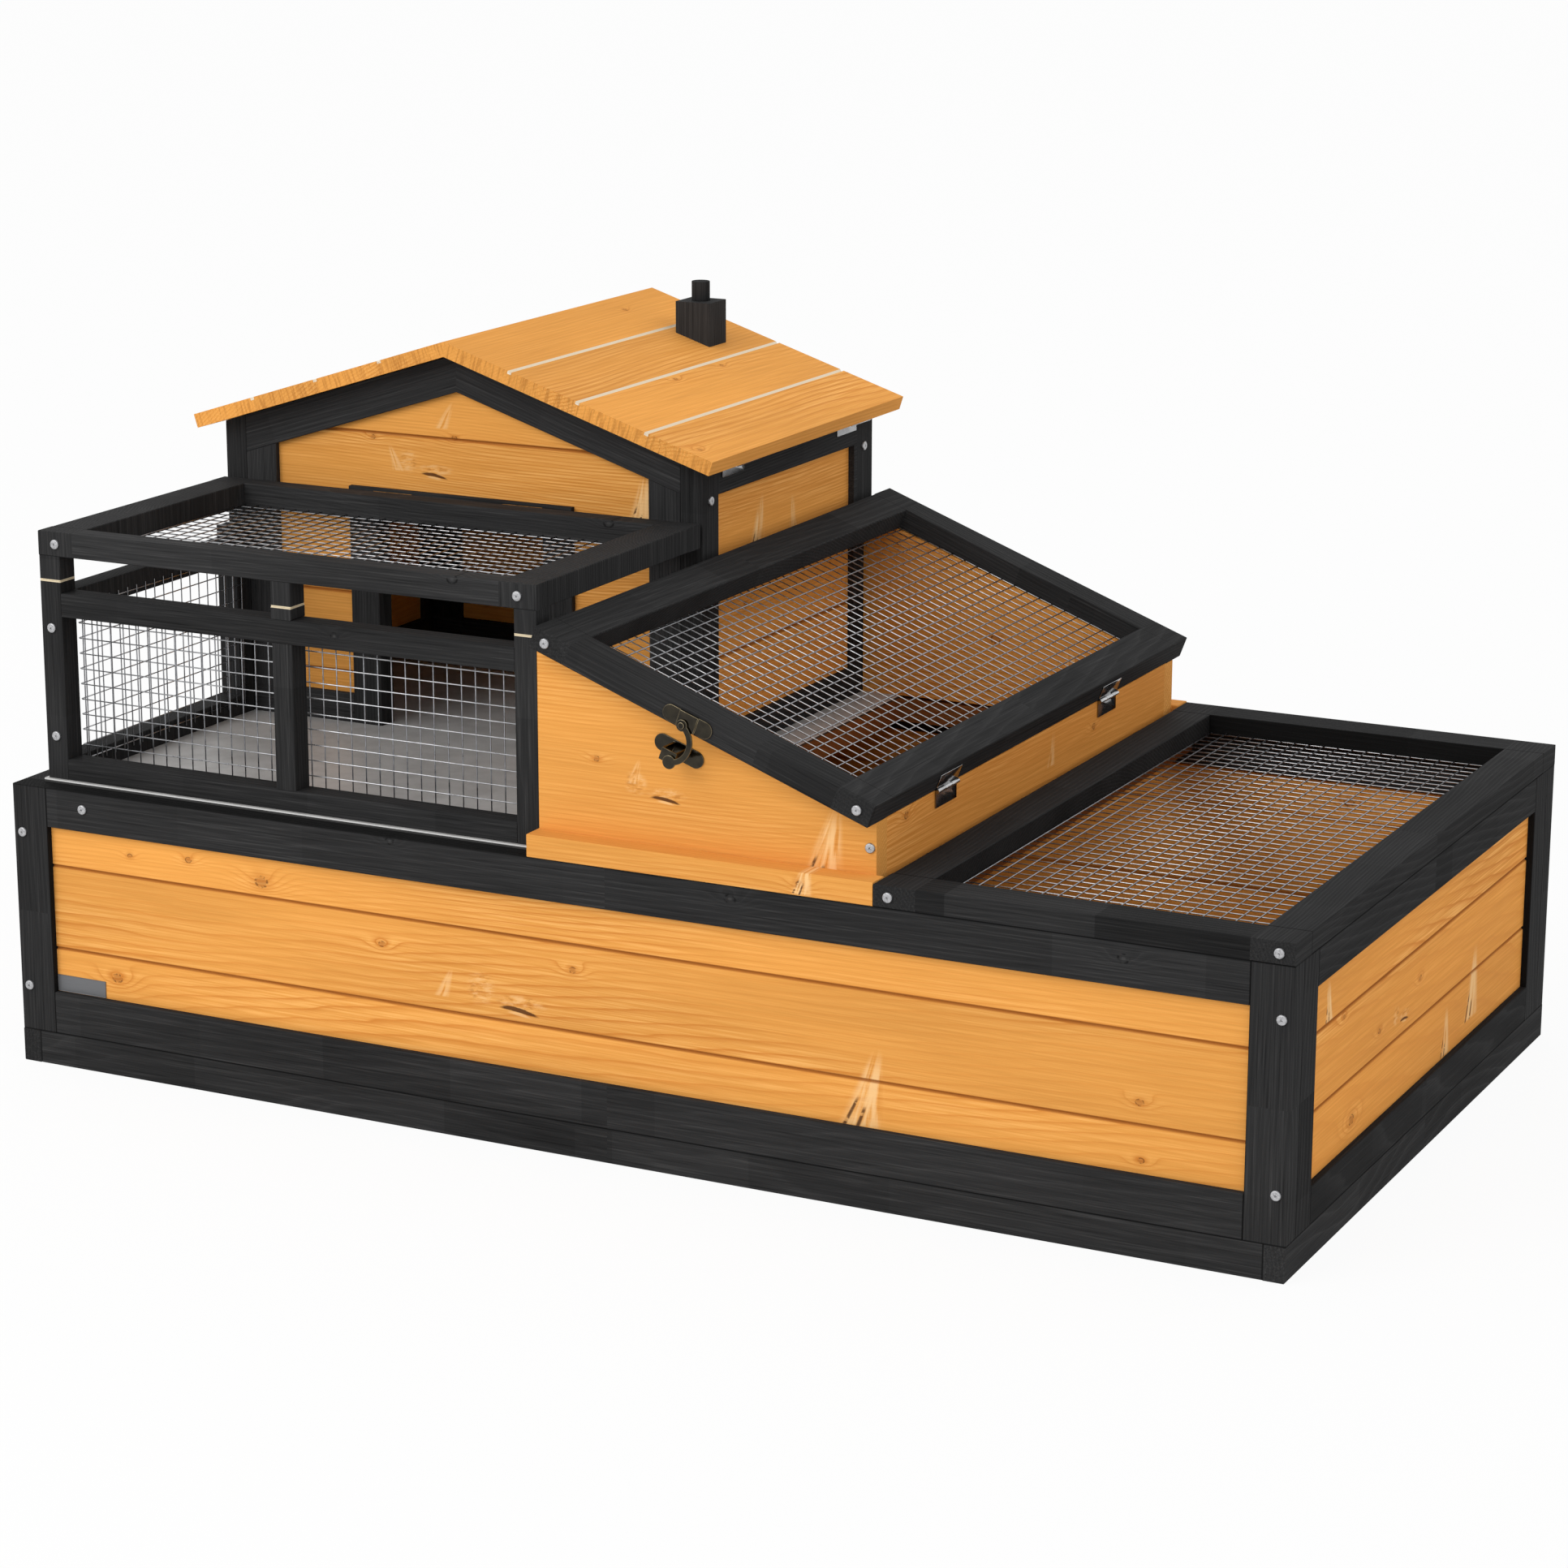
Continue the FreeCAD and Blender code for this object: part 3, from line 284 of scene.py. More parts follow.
def with_torn(tone, u, v, torn):
    """Dark arched slits under a pale lip, with torn fibres beside them, on a colour."""
    for x, y, size in torn:
        crumb = noise(point(u * 95.0 + v * 60.0, v * 300.0 - u * 45.0, u * 0.0 + x * 40.0), 4.0, 0.6)
        for across, up, wide, tall in TORN_PATCHES:
            near = spot(u, v, (x + across * size, y + up * size), (wide * size, tall * size)).fade(0.25, 0.75)
            tone = (near * crumb.fade(0.42, 0.66) * 0.50).between(tone, CREAM)
            tone = (near * crumb.fade(0.46, 0.34) * 0.42).between(tone, HEART_BROWN)
        bent = v + (u - x) * TORN_LEAN + (u - x) * (u - x) * (0.10 / size)
        ragged = (crumb - 0.5) * (size * 0.10)
        slit = spot(u, bent + ragged, (x, y), (size * 0.72, size * 0.085))
        tone = (slit.fade(0.12, 0.40) * 0.92).between(tone, CRACK_BROWN)
        lip = spot(u, bent, (x, y - size * 0.17), (size * 0.60, size * 0.09))
        tone = (lip.fade(0.3, 0.8) * 0.55).between(tone, CREAM)
    return tone


def with_flames(tone, u, v, flames):
    """Pale wedges with fine cracks at the foot, on a colour."""
    for x, y, height, lean in flames:
        rise = (v - y) / height
        width = (1.35 - rise) * (height * 0.22)
        side = (u - x - (v - y) * lean) / width
        inside = abs(side).fade(1.15, 0.4) * rise.fade(-0.02, 0.03) * rise.fade(1.05, 0.6)
        streak = noise(point(side * 2.6, rise * 1.3, rise * 0.0 + x * 90.0), 3.0)
        large = height > SMALL_FLAME
        tone = (inside * streak.fade(0.34, 0.58) * (0.85 if large else 0.5)).between(tone, CREAM)
        tone = (inside * streak.fade(0.44, 0.32) * 0.35).between(tone, HONEY_LATE)
        foot = rise.fade(-0.02, 0.01) * noise(point(rise * 11.0, side, rise * 0.0 + x * 50.0)).fade(0.36, 0.46)
        for where, reach in FOOT_CRACKS if large else ():
            crack = abs(side - where - rise * 0.5).fade(0.13, 0.04) * rise.fade(reach, reach * 0.7) * foot
            tone = (crack * 0.9).between(tone, CRACK_BROWN)
    return tone


print("board marks ready")

# %% [markdown]
# The boards are softwood under a clear honey stain.
# The stain darkens the late wood a little, and the grooves are darkened as painted shade. On the roof the grooves
# are pale.
# Where the boards part is read from the imported mesh: a joint is a level with the two lips of a groove beside it.
# The number of joints below a point then says which board it is on, and each board gets its own tone and rings.

# %% Honey stain
GROOVE = 0.0018
GROOVE_DEPTH = 0.0024
LIP_TOLERANCE = 2e-4
GROOVE_SHADE_AND_SAW_MARK = (0.33, 0.105, 0.018)
SEAM_PALE = (0.90, 0.79, 0.62)
GROOVE_SHADE_REACH = (0.0020, 0.0006)
PALE_SEAM = (0.0021, 0.0017)
SAW_SKIN = 0.0004
ROOF_PAINTED_LIGHT = 1.07


def reach(node, direction):
    """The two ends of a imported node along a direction."""
    places = [vertex.co.dot(direction) for vertex in nodes[node].data.vertices]
    return min(places), max(places)


def board_joints(node, across):
    """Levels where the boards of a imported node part, measured across them."""
    levels = {round(vertex.co.dot(across), 4) for vertex in nodes[node].data.vertices}

    def lips(level):
        return all(any(abs(level + step - other) < LIP_TOLERANCE for other in levels) for step in (-GROOVE, GROOVE))

    return sorted(level for level in levels if lips(level))


def honey_finish(name, lay, joints, seed, knots=(), torn=(), flames=(), bare_above=None, sawn=None, level=1.0,
                 painted_shade=0.0):
    """Stained boards laid along, across and through three directions.

    Roof boards have pale grooves above a level, and saw marks on the ends that lie outside two places.
    A level scales the colour as painted light, and the shade amount moves it towards the late wood as painted shade.
    """
    material, shader, place = new_finish(name)
    u, v, w = [place.along(direction) for direction in lay]
    number = sum(((v > joint) for joint in joints), v * 0.0 + seed)
    piece = chance(number)
    swirl = [(spot(u, v, (x, y), (size * 3.2, size * 1.6)), size) for x, y, size in knots]
    bend = sum((near * (size * 1.2) for near, size in swirl), 0.0)
    body = [plain + (late_tone - plain) * painted_shade for plain, late_tone in zip(HONEY, HONEY_LATE)]
    late, fibre, cloud = grain(u, v, w, piece, bend)
    patch = noise(point(u * 2.1 + number * 13.0, v * 14.0, w * 14.0), 1.0).fade(0.44, 0.68)
    clear = sum((near * 0.8 for near, size in swirl), patch)
    tone = (late * (clear * 0.60 + 0.16)).between(body, HONEY_LATE)
    tone = ((1.0 - late) * fibre.fade(0.40, 0.7) * (clear * 0.50 + 0.14)).between(tone, HONEY_PALE)
    tone = tone.tinted((cloud - 0.5) * 0.34 + (fibre - 0.5) * 0.32 + (piece - 0.5) * 0.12 + level)
    tone = with_flames(with_torn(with_knots(tone, u, v, knots), u, v, torn), u, v, flames)
    for joint in joints:
        if bare_above is None:
            # Painted shade: the grooves between wall boards are darkened.
            tone = (abs(v - joint).fade(*GROOVE_SHADE_REACH) * 0.82).between(tone, GROOVE_SHADE_AND_SAW_MARK)
        else:
            tone = (abs(v - joint).fade(*PALE_SEAM) * (w > bare_above)).between(tone, SEAM_PALE)
    if sawn:
        tick = noise(point(v * 420.0, w * 45.0, u * 0.0), 3.0).fade(0.44, 0.66)
        # The saw marks on the roof ends take the same dark brown.
        tone = (((u < sawn[0]) + (u > sawn[1])) * tick * 0.40).between(tone, GROOVE_SHADE_AND_SAW_MARK)
    height = fibre * 0.6 + late * 0.4
    feed(shader, Base_Color=tone, Roughness=0.74 - late * 0.10 + (cloud - 0.5) * 0.12,
         Normal=relief(height, 0.00016), Specular_IOR_Level=0.05)
    return material


PITCH = math.radians(17.7)
PITCH_COS, PITCH_SIN = math.cos(PITCH), math.sin(PITCH)
FACING_FRONT = (X, Z, Y)
FACING_SIDE = (Y, Z, X)
RIGHT_SLOPE = (Y, Vector((PITCH_COS, 0, -PITCH_SIN)), Vector((PITCH_SIN, 0, PITCH_COS)))
LEFT_SLOPE = (Y, Vector((-PITCH_COS, 0, -PITCH_SIN)), Vector((-PITCH_SIN, 0, PITCH_COS)))
print("front boards part at", board_joints("front_wall_boards", Z))

# %% [markdown]
# Each honey node gets its own finish. Places of the marks are in metres in the plane of the boards.
# A knot or a torn patch is its place along and across the grain and its size. A flame is its foot, height and lean.
# The front, the gable, the middle panel, the right end and the right roof slope follow the photograph.
# The other sides get a few of their own. The walls that face right and the middle end wall get painted shade towards
# the late wood and a raised level as painted light. The roof gets a raised level as painted light.

# %% Honey boards
honey_boards = {
    "front_wall_boards": (FACING_FRONT, {
        "knots": [(-0.442, 0.188, 0.0030), (-0.385, 0.192, 0.0038), (-0.3155, 0.183, 0.0075),
                  (-0.204, 0.147, 0.0036), (-0.032, 0.150, 0.0040), (0.436, 0.117, 0.0042),
                  (0.438, 0.073, 0.0034), (-0.459, 0.082, 0.0060)],
        "torn": [(-0.080, 0.1105, 0.019)],
        "flames": [(0.214, 0.063, 0.062, 0.22), (-0.150, 0.112, 0.024, 0.4)]}),
    "back_wall_boards": (FACING_FRONT, {
        "knots": [(-0.300, 0.090, 0.0050), (0.120, 0.138, 0.0045), (0.380, 0.187, 0.0060)],
        "flames": [(-0.05, 0.104, 0.05, -0.2)]}),
    "left_wall_boards": (FACING_SIDE, {
        "knots": [(-0.120, 0.140, 0.0045), (0.180, 0.080, 0.0060)], "torn": [(0.040, 0.185, 0.012)]}),
    # Painted shade and light: this wall is moved towards the late wood and its level is raised.
    "right_wall_boards": (FACING_SIDE, {
        "knots": [(-0.1643, 0.075, 0.0065), (-0.1058, 0.127, 0.0035), (-0.010, 0.142, 0.0035),
                  (-0.190, 0.163, 0.0030)],
        "torn": [(-0.0468, 0.120, 0.011)], "painted_shade": 0.25, "level": 1.11,
        "flames": [(0.126, 0.070, 0.060, 0.12), (0.060, 0.058, 0.040, 0.05), (-0.223, 0.168, 0.034, -0.1)]}),
    "gable_boards": (FACING_FRONT, {
        "knots": [(-0.305, 0.495, 0.0032), (-0.385, 0.490, 0.0030)],
        "torn": [(-0.3254, 0.462, 0.014)],
        "flames": [(-0.128, 0.436, 0.044, 0.1), (-0.360, 0.463, 0.022, -0.4), (-0.318, 0.502, 0.024, 0.5)]}),
    "house_back_boards": (FACING_FRONT, {
        "knots": [(-0.240, 0.330, 0.0050), (-0.390, 0.400, 0.0040)], "flames": [(-0.300, 0.440, 0.035, 0.2)]}),
    "house_left_boards": (FACING_SIDE, {"knots": [(0.090, 0.350, 0.0050)], "flames": [(0.180, 0.290, 0.03, -0.3)]}),
    # Painted shade and light: this wall is moved towards the late wood and its level is raised.
    "house_right_boards": (FACING_SIDE, {
        "painted_shade": 0.25, "level": 1.16,
        "knots": [(0.060, 0.360, 0.0040)], "flames": [(0.080, 0.400, 0.050, 0.2), (0.150, 0.410, 0.030, -0.1)]}),
    "middle_front_panel": (FACING_FRONT, {
        "knots": [(-0.017, 0.316, 0.0034), (0.100, 0.335, 0.0040)],
        "torn": [(0.042, 0.291, 0.014)],
        "flames": [(0.172, 0.241, 0.062, 0.22), (0.014, 0.300, 0.020, 0.3)]}),
    "middle_back_panel": (FACING_FRONT, {"knots": [(0.060, 0.300, 0.0060)], "flames": [(0.140, 0.250, 0.05, -0.2)]}),
    # Painted shade and light: this wall is moved towards the late wood and its level is raised.
    "middle_end_wall": (FACING_SIDE, {
        "painted_shade": 0.45, "level": 1.16,
        "knots": [(-0.245, 0.288, 0.0045), (0.120, 0.275, 0.0040)], "flames": [(0.030, 0.262, 0.028, 0.2)]}),
    "front_ledge": (FACING_FRONT, {"knots": [(0.165, 0.246, 0.0040)], "flames": [(0.166, 0.238, 0.031, 0.2)]}),
    "back_ledge": (FACING_FRONT, {"knots": [(0.050, 0.246, 0.0035)]}),
    "roof_right_boards": (RIGHT_SLOPE, {
        "knots": [(0.107, -0.319, 0.0032), (0.191, -0.319, 0.0030), (-0.030, -0.219, 0.0034),
                  (0.225, -0.438, 0.0032)]}),
    "roof_left_boards": (LEFT_SLOPE, {
        "knots": [(0.070, 0.150, 0.0040), (0.200, 0.250, 0.0040)]}),
}
for seed, (node, (lay, marks)) in enumerate(honey_boards.items()):
    joints = board_joints(node, lay[1])
    if node.startswith("roof"):
        front, back = reach(node, lay[0])
        marks["bare_above"] = reach(node, lay[2])[1] - GROOVE_DEPTH
        marks["sawn"] = front + SAW_SKIN, back - SAW_SKIN
        # The roof's raised level is painted light.
        marks["level"] = ROOF_PAINTED_LIGHT
    nodes[node].data.materials[0] = honey_finish(node + "_stain", lay, joints, seed * 17, **marks)
    print(node, len(joints) + 1, "boards")

# %% [markdown]
# The frames are the same softwood under a black stain. The wood shows through only as a faint grain.
# Long timbers are finger-jointed from short blocks, and each block took the stain a little differently.
# A frame has timbers that run two ways, so a test on the place turns the grain where a stile or an end rail stands.

# %% Black stain
BLACK = (0.0255, 0.0255, 0.0260)
BLACK_WORN = (0.068, 0.067, 0.067)
BLACK_DEEP = (0.007, 0.007, 0.007)
BLOCK_LENGTH = 0.118
JOINT_LINE = (0.0009, 0.0003)
SEAM_CREAM = (0.78, 0.66, 0.46)
SEAM_LINE = (0.00115, 0.00075)
FRONT_POSTS = -0.2


def plain_lay(lay, split=0.0):
    """Timbers that all run one way, told apart by a level across them."""
    def places(place):
        u, v, w = [place.along(direction) for direction in lay]
        return u, v, w, (v > split) + 1.0
    return places


def framed_lay(lay, split, crossing):
    """Rails that run one way, and timbers that run across them where the test says so."""
    def places(place):
        u, v, w = [place.along(direction) for direction in lay]
        turned = crossing(place)
        return u + (v - u) * turned, v + (u - v) * turned, w, (v > split) + (u > 0.0) * 2.0 + turned * 4.0
    return places


def black_finish(name, lay, seed, knots=(), lines=(), seam=None, blocks=0.20, shade=1.0):
    """Black stained timbers with dark joint lines, and an unstained line at a seam level if one is given.

    Blocks says how much the finger-jointed blocks differ, and the last argument scales the brightness as painted
    light and shade.
    """
    material, shader, place = new_finish(name)
    u, v, w, number = lay(place)
    piece = chance(number + seed)
    bend = sum((spot(u, v, (x, y), (size * 3.0, size * 1.6)) * (size * 1.3) for x, y, size in knots), 0.0)
    late, fibre, cloud = grain(u, v, w, piece, bend)
    block = chance((u / BLOCK_LENGTH + piece * 9.0).math("FLOOR") + number * 31.0 + seed)
    tone = (late * 0.18 + fibre.fade(0.48, 0.80) * 0.60).between(BLACK, BLACK_WORN)
    tone = (fibre.fade(0.46, 0.26) * 0.60 + cloud.fade(0.5, 0.3) * 0.20).between(tone, BLACK_DEEP)
    tone = tone.tinted(shade - 0.03 + (block - 0.5) * blocks + (piece - 0.5) * 0.10 + (cloud - 0.5) * 0.40)
    for direction, level in lines:
        tone = (abs(place.along(direction) - level).fade(*JOINT_LINE) * 0.85).between(tone, BLACK_DEEP)
    for x, y, size in knots:
        heart = spot(u, v, (x, y), (size, size * 0.75))
        ring = heart.fade(0.25, 0.45) * (1.0 - heart.fade(0.5, 0.75))
        broken = noise(point(u * 280.0, v * 280.0, w * 0.0)).fade(0.40, 0.60)
        tone = (ring * broken * 0.85).between(tone, BLACK_DEEP)
        tone = (heart.fade(0.8, 1.0) * 0.5).between(tone, BLACK_WORN)
    if seam:
        bare = abs(place.along(Z) - seam).fade(*SEAM_LINE) * (place.along(Y) < FRONT_POSTS)
        tone = bare.between(tone, SEAM_CREAM)
    height = fibre * 0.6 + late * 0.5
    feed(shader, Base_Color=tone, Roughness=0.72 - late * 0.08 + (fibre - 0.5) * 0.20,
         Normal=relief(height, 0.00030), Specular_IOR_Level=0.03)
    return material


def beyond(direction, low, high):
    """A test that holds outside two levels along a direction."""
    return lambda place: (place.along(direction) < low) + (place.along(direction) > high)


print("black stain ready")

# %% [markdown]
# The lays of the black timbers: ground strips, wall frames, balcony, house and lids.
# The sloped lid's own directions follow its slope.
# The rafters of a gable follow the pitch on both sides of the ridge.
# The lines are the joints between timbers, and the shades are matched to the photograph. They are painted light and
# shade on whole nodes: the flat lid and the right wall, which face up and to the right, are darker, and the gable,
# the chimney block and the balcony lid rails are lighter.

# %% Black timbers
SLOPE = math.radians(20.5)
DOWN_LID = Vector((math.cos(SLOPE), 0, -math.sin(SLOPE)))
OUT_OF_LID = Vector((math.sin(SLOPE), 0, math.cos(SLOPE)))
RIDGE_X = -0.299
RAFTER_EDGE = 0.5095
LOW_RAIL_TOP = 0.265
DOOR_HEAD = 0.425
BALCONY_FRONT = -0.2768
LEG_SEAM = 0.4051
LYING = (X, Y, Z)
LYING_ACROSS = (Y, X, Z)
UPRIGHT = (Z, X, Y)
ON_SLOPE = (DOWN_LID, Y, OUT_OF_LID)


def inside_of(node, rim, direction):
    """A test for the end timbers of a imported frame, a rim wide along a direction."""
    start, end = reach(node, direction)
    return beyond(direction, start + rim, end - rim)


def gable_lay(place):
    """Rafters along the pitch on both sides of the ridge, stiles upright and the low rail level."""
    out = abs(place.along(X) - RIDGE_X)
    up = place.along(Z)
    down = out * PITCH_COS - up * PITCH_SIN
    over = out * PITCH_SIN + up * PITCH_COS
    rafter = over > RAFTER_EDGE
    level = (1.0 - rafter) * (up < LOW_RAIL_TOP)
    upright = (1.0 - rafter) * (1.0 - level)
    u = down * rafter + up * upright + place.along(X) * level
    v = over * rafter + out * upright + up * level
    return u, v, place.along(Y), rafter * 2.0 + upright + (place.along(X) > RIDGE_X) * 3.0


black_timbers = {
    "ground_frame": (framed_lay(LYING, 0.0, inside_of("ground_frame", 0.017, X)), [(-0.367, 0.011, 0.004)]),
    "front_wall_frame": (framed_lay(FACING_FRONT, 0.13, inside_of("front_wall_frame", 0.033, X)),
                         [(-0.191, 0.234, 0.004), (0.107, 0.227, 0.005), (0.423, 0.225, 0.005)]),
    "back_wall_frame": (framed_lay(FACING_FRONT, 0.13, inside_of("back_wall_frame", 0.033, X)),
                        [(0.2, 0.222, 0.005)]),
    "left_wall_frame": (framed_lay(FACING_SIDE, 0.13, inside_of("left_wall_frame", 0.031, Y)), []),
    "right_wall_frame": (framed_lay(FACING_SIDE, 0.13, inside_of("right_wall_frame", 0.031, Y)), []),
    "balcony_posts": (plain_lay(UPRIGHT, -0.4), []),
    "balcony_lid_legs": (plain_lay(UPRIGHT, -0.4), []),
    "balcony_rails": (framed_lay(FACING_FRONT, 0.3, lambda place: place.along(Y) > BALCONY_FRONT),
                      [(-0.25, 0.387, 0.004)]),
    "balcony_lid_rails": (framed_lay(FACING_FRONT, 0.3, inside_of("balcony_lid_rails", 0.033, X)),
                          [(-0.142, 0.4426, 0.005)]),
    "gable_frame": (gable_lay, []),
    "house_back_frame": (gable_lay, []),
    "door_frame": (framed_lay(FACING_FRONT, 0.43, lambda place: place.along(Z) < DOOR_HEAD), []),
    "house_left_frame": (framed_lay(FACING_SIDE, 0.4, inside_of("house_left_frame", 0.030, Y)), []),
    "house_right_frame": (framed_lay(FACING_SIDE, 0.4, inside_of("house_right_frame", 0.030, Y)), []),
    "chimney_block": (plain_lay(UPRIGHT), []),
    "sloped_lid_rails": (framed_lay(ON_SLOPE, 0.0, inside_of("sloped_lid_rails", 0.032, DOWN_LID)), []),
    "flat_lid_rails": (framed_lay(LYING, 0.0, inside_of("flat_lid_rails", 0.034, X)), []),
}
joint_lines = {
    "gable_frame": [(X, -0.510), (X, -0.088)],
    "ground_frame": [(Z, 0.028), (X, -0.535), (X, 0.535)],
    "front_wall_frame": [(Z, 0.028), (Z, 0.237), (X, -0.519), (X, 0.519)],
    "back_wall_frame": [(Z, 0.028), (Z, 0.237), (X, -0.519), (X, 0.519)],
    "left_wall_frame": [(Z, 0.028), (Y, -0.2658), (Y, 0.2642)],
    "right_wall_frame": [(Z, 0.028), (Z, 0.237), (Y, -0.2658), (Y, 0.2642)],
    "flat_lid_rails": [(Z, 0.237), (Y, -0.2828), (Y, 0.2812)],
}
EVEN_BLOCKS, PATCHY_BLOCKS = 0.20, 0.34
patchy_nodes = ("right_wall_frame", "flat_lid_rails", "left_wall_frame", "sloped_lid_rails")
# Painted light and shade: these levels make whole nodes darker or lighter.
shades = {"flat_lid_rails": 0.81, "right_wall_frame": 0.82, "chimney_block": 1.30, "gable_frame": 1.20,
          "balcony_lid_rails": 1.10}
for seed, (node, (lay, knots)) in enumerate(black_timbers.items()):
    seam = LEG_SEAM if node in ("balcony_posts", "balcony_lid_legs") else None
    lines = joint_lines.get(node, ())
    blocks = PATCHY_BLOCKS if node in patchy_nodes else EVEN_BLOCKS
    shade = shades.get(node, 1.0)
    nodes[node].data.materials[0] = black_finish(node + "_stain", lay, seed * 13, knots, lines, seam, blocks, shade)
print(len(black_timbers), "black nodes finished")

# %% [markdown]
# Inside, the floor, the bearers and the ramp are softwood darkened to brown as painted shade, with a plainer grain.
# The upper floor is a pale coated sheet with a slightly mottled face, painted darker on top than at its edge as
# painted shade. Its edge is white in a thin band under the top, and dark below that band.

# %% Inner timber and floor sheet
INNER_SHADED = (0.26, 0.095, 0.026)
INNER_LATE_SHADED = (0.17, 0.055, 0.013)
SHADED_SHEET = (0.50, 0.49, 0.48)
SHADED_SHEET_DULL = (0.38, 0.37, 0.36)
SHEET_EDGE = (0.80, 0.80, 0.79)
SHEET_EDGE_LOW = (0.045, 0.044, 0.043)
SHEET_TOP = 0.240
SHEET_FACE = 0.0002
SHEET_BAND_DEPTH = 0.0013


def inner_finish(name, lay, seed):
    """Pine darkened to brown as painted shade."""
    material, shader, place = new_finish(name)
    u, v, w = [place.along(direction) for direction in lay]
    piece = chance((v * 9.0).math("FLOOR") + seed)
    late, fibre, cloud = grain(u, v, w, piece, 0.0)
    # Painted shade: both browns are darkened for the shaded interior.
    tone = (late * 0.5).between(INNER_SHADED, INNER_LATE_SHADED)
    tone = tone.tinted((cloud - 0.5) * 0.4 + (fibre - 0.5) * 0.3 + (piece - 0.5) * 0.15 + 1.0)
    feed(shader, Base_Color=tone, Roughness=0.72 + (fibre - 0.5) * 0.15,
         Normal=relief(fibre, 0.0002), Specular_IOR_Level=0.12)
    return material


inner_lays = {"base_floor": LYING, "floor_battens": LYING_ACROSS, "floor_bearers": LYING, "ramp_board": LYING,
              "ramp_cleats": LYING_ACROSS, "roof_battens": LYING}
for seed, (node, lay) in enumerate(inner_lays.items()):
    nodes[node].data.materials[0] = inner_finish(node + "_stain", lay, seed * 7)

sheet_coat, shader, place = new_finish("floor_sheet_coat")
mottle = noise(place.tinted(38.0), 4.0, 0.6)
speck = noise(place.tinted(700.0), 2.0)
# Painted shade: the top of the sheet is darker than its edge band.
tone = (mottle.fade(0.35, 0.7) * 0.7).between(SHADED_SHEET, SHADED_SHEET_DULL)
tone = (place.along(Z) < SHEET_TOP - SHEET_FACE).between(tone, SHEET_EDGE)
tone = (place.along(Z) < SHEET_TOP - SHEET_BAND_DEPTH).between(tone, SHEET_EDGE_LOW).tinted(speck * 0.12 + 0.94)
feed(shader, Base_Color=tone, Roughness=0.42 + (mottle - 0.5) * 0.2, Normal=relief(speck, 0.00005))
nodes["upper_floor"].data.materials[0] = sheet_coat
print("inner timber and floor sheet finished")

# %% [markdown]
# Four metals: zinc-dipped wire, polished hinge steel, zinc screw heads and antique bronze for the latch.
# The long wires of a panel are given a brighter copy of the zinc than the cross wires, a painted highlight, because
# the photograph shows them so. The real wires may be alike.
# Zinc has a cloudy bloom, so its roughness varies.
# Bronze is nearly black in the hollows and bright where hands rub it.

# %% Metals
def metal_finish(name, dark, bright, scale, rough, spread, depth):
    """A metal whose tone and gloss drift in clouds."""
    material, shader, place = new_finish(name)
    cloud = noise(place.tinted(scale), 4.0, 0.6)
    grit = noise(place.tinted(scale * 7.0), 2.0)
    tone = cloud.fade(0.3, 0.7).between(dark, bright).tinted(grit * 0.2 + 0.9)
    feed(shader, Base_Color=tone, Roughness=(cloud - 0.5) * spread + (grit - 0.5) * spread * 0.5 + rough,
         Metallic=1.0, Normal=relief(grit, depth))
    return material


wire_zinc = metal_finish("wire_zinc", (0.22, 0.225, 0.24), (0.36, 0.37, 0.39), 160.0, 0.30, 0.2, 0.00003)
# The brighter copy is a painted highlight for the long wires.
wire_painted_highlight = metal_finish("wire_painted_highlight", (0.38, 0.385, 0.40), (0.58, 0.585, 0.60), 160.0, 0.30, 0.2, 0.00003)
# Hinge steel comes as a dark copy for the leaf faces, a painted reflection, and a bright copy for small faces and
# rounded edges, a painted highlight.
hinge_dark_reflection = metal_finish("hinge_dark_reflection", (0.20, 0.20, 0.205), (0.30, 0.30, 0.305), 60.0, 0.16, 0.10, 0.00001)
hinge_edge_highlight = metal_finish("hinge_edge_highlight", (0.40, 0.405, 0.41), (0.58, 0.585, 0.59), 90.0, 0.22, 0.10, 0.00001)
screw_zinc = metal_finish("screw_zinc", (0.34, 0.34, 0.35), (0.56, 0.56, 0.57), 600.0, 0.50, 0.2, 0.00004)
latch_bronze = metal_finish("latch_bronze", (0.016, 0.013, 0.008), (0.038, 0.031, 0.019), 70.0, 0.24, 0.14, 0.00001)
feed(latch_bronze.node_tree.nodes["Principled BSDF"], Coat_Weight=0.35, Coat_Roughness=0.12)
latch_rub = metal_finish("latch_rub", (0.085, 0.068, 0.042), (0.20, 0.165, 0.105), 120.0, 0.24, 0.14, 0.00001)
print("metals ready")

# %% [markdown]
# Small pieces are modelled on their own and take a node's place. These helpers do what hands do in the window:
# deselect all, pick one piece, apply its modifiers, join copies, and hang the result on the body that carries it.

# %% Helpers for new pieces
def only(*pieces):
    """Select just these pieces, the last one active."""
    bpy.ops.object.select_all(action="DESELECT")
    for piece in pieces:
        piece.select_set(True)
    bpy.context.view_layer.objects.active = pieces[-1]


def pick(piece, element, test):
    """In edit mode, select the faces or edges of a piece that pass a test on their middle."""
    bpy.ops.object.mode_set(mode="EDIT")
    bpy.ops.mesh.select_all(action="DESELECT")
    bpy.ops.mesh.select_mode(type=element)
    bpy.ops.object.mode_set(mode="OBJECT")
    mesh = piece.data
    for part in (mesh.polygons if element == "FACE" else mesh.edges):
        corners = [mesh.vertices[index].co for index in part.vertices]
        part.select = test(sum(corners, Vector()) / len(corners))
    bpy.ops.object.mode_set(mode="EDIT")


def modified(piece, kind, **settings):
    """Add a modifier to a piece and apply it."""
    only(piece)
    modifier = piece.modifiers.new(kind.lower(), kind)
    for name, value in settings.items():
        setattr(modifier, name, value)
    bpy.ops.object.modifier_apply(modifier=modifier.name)


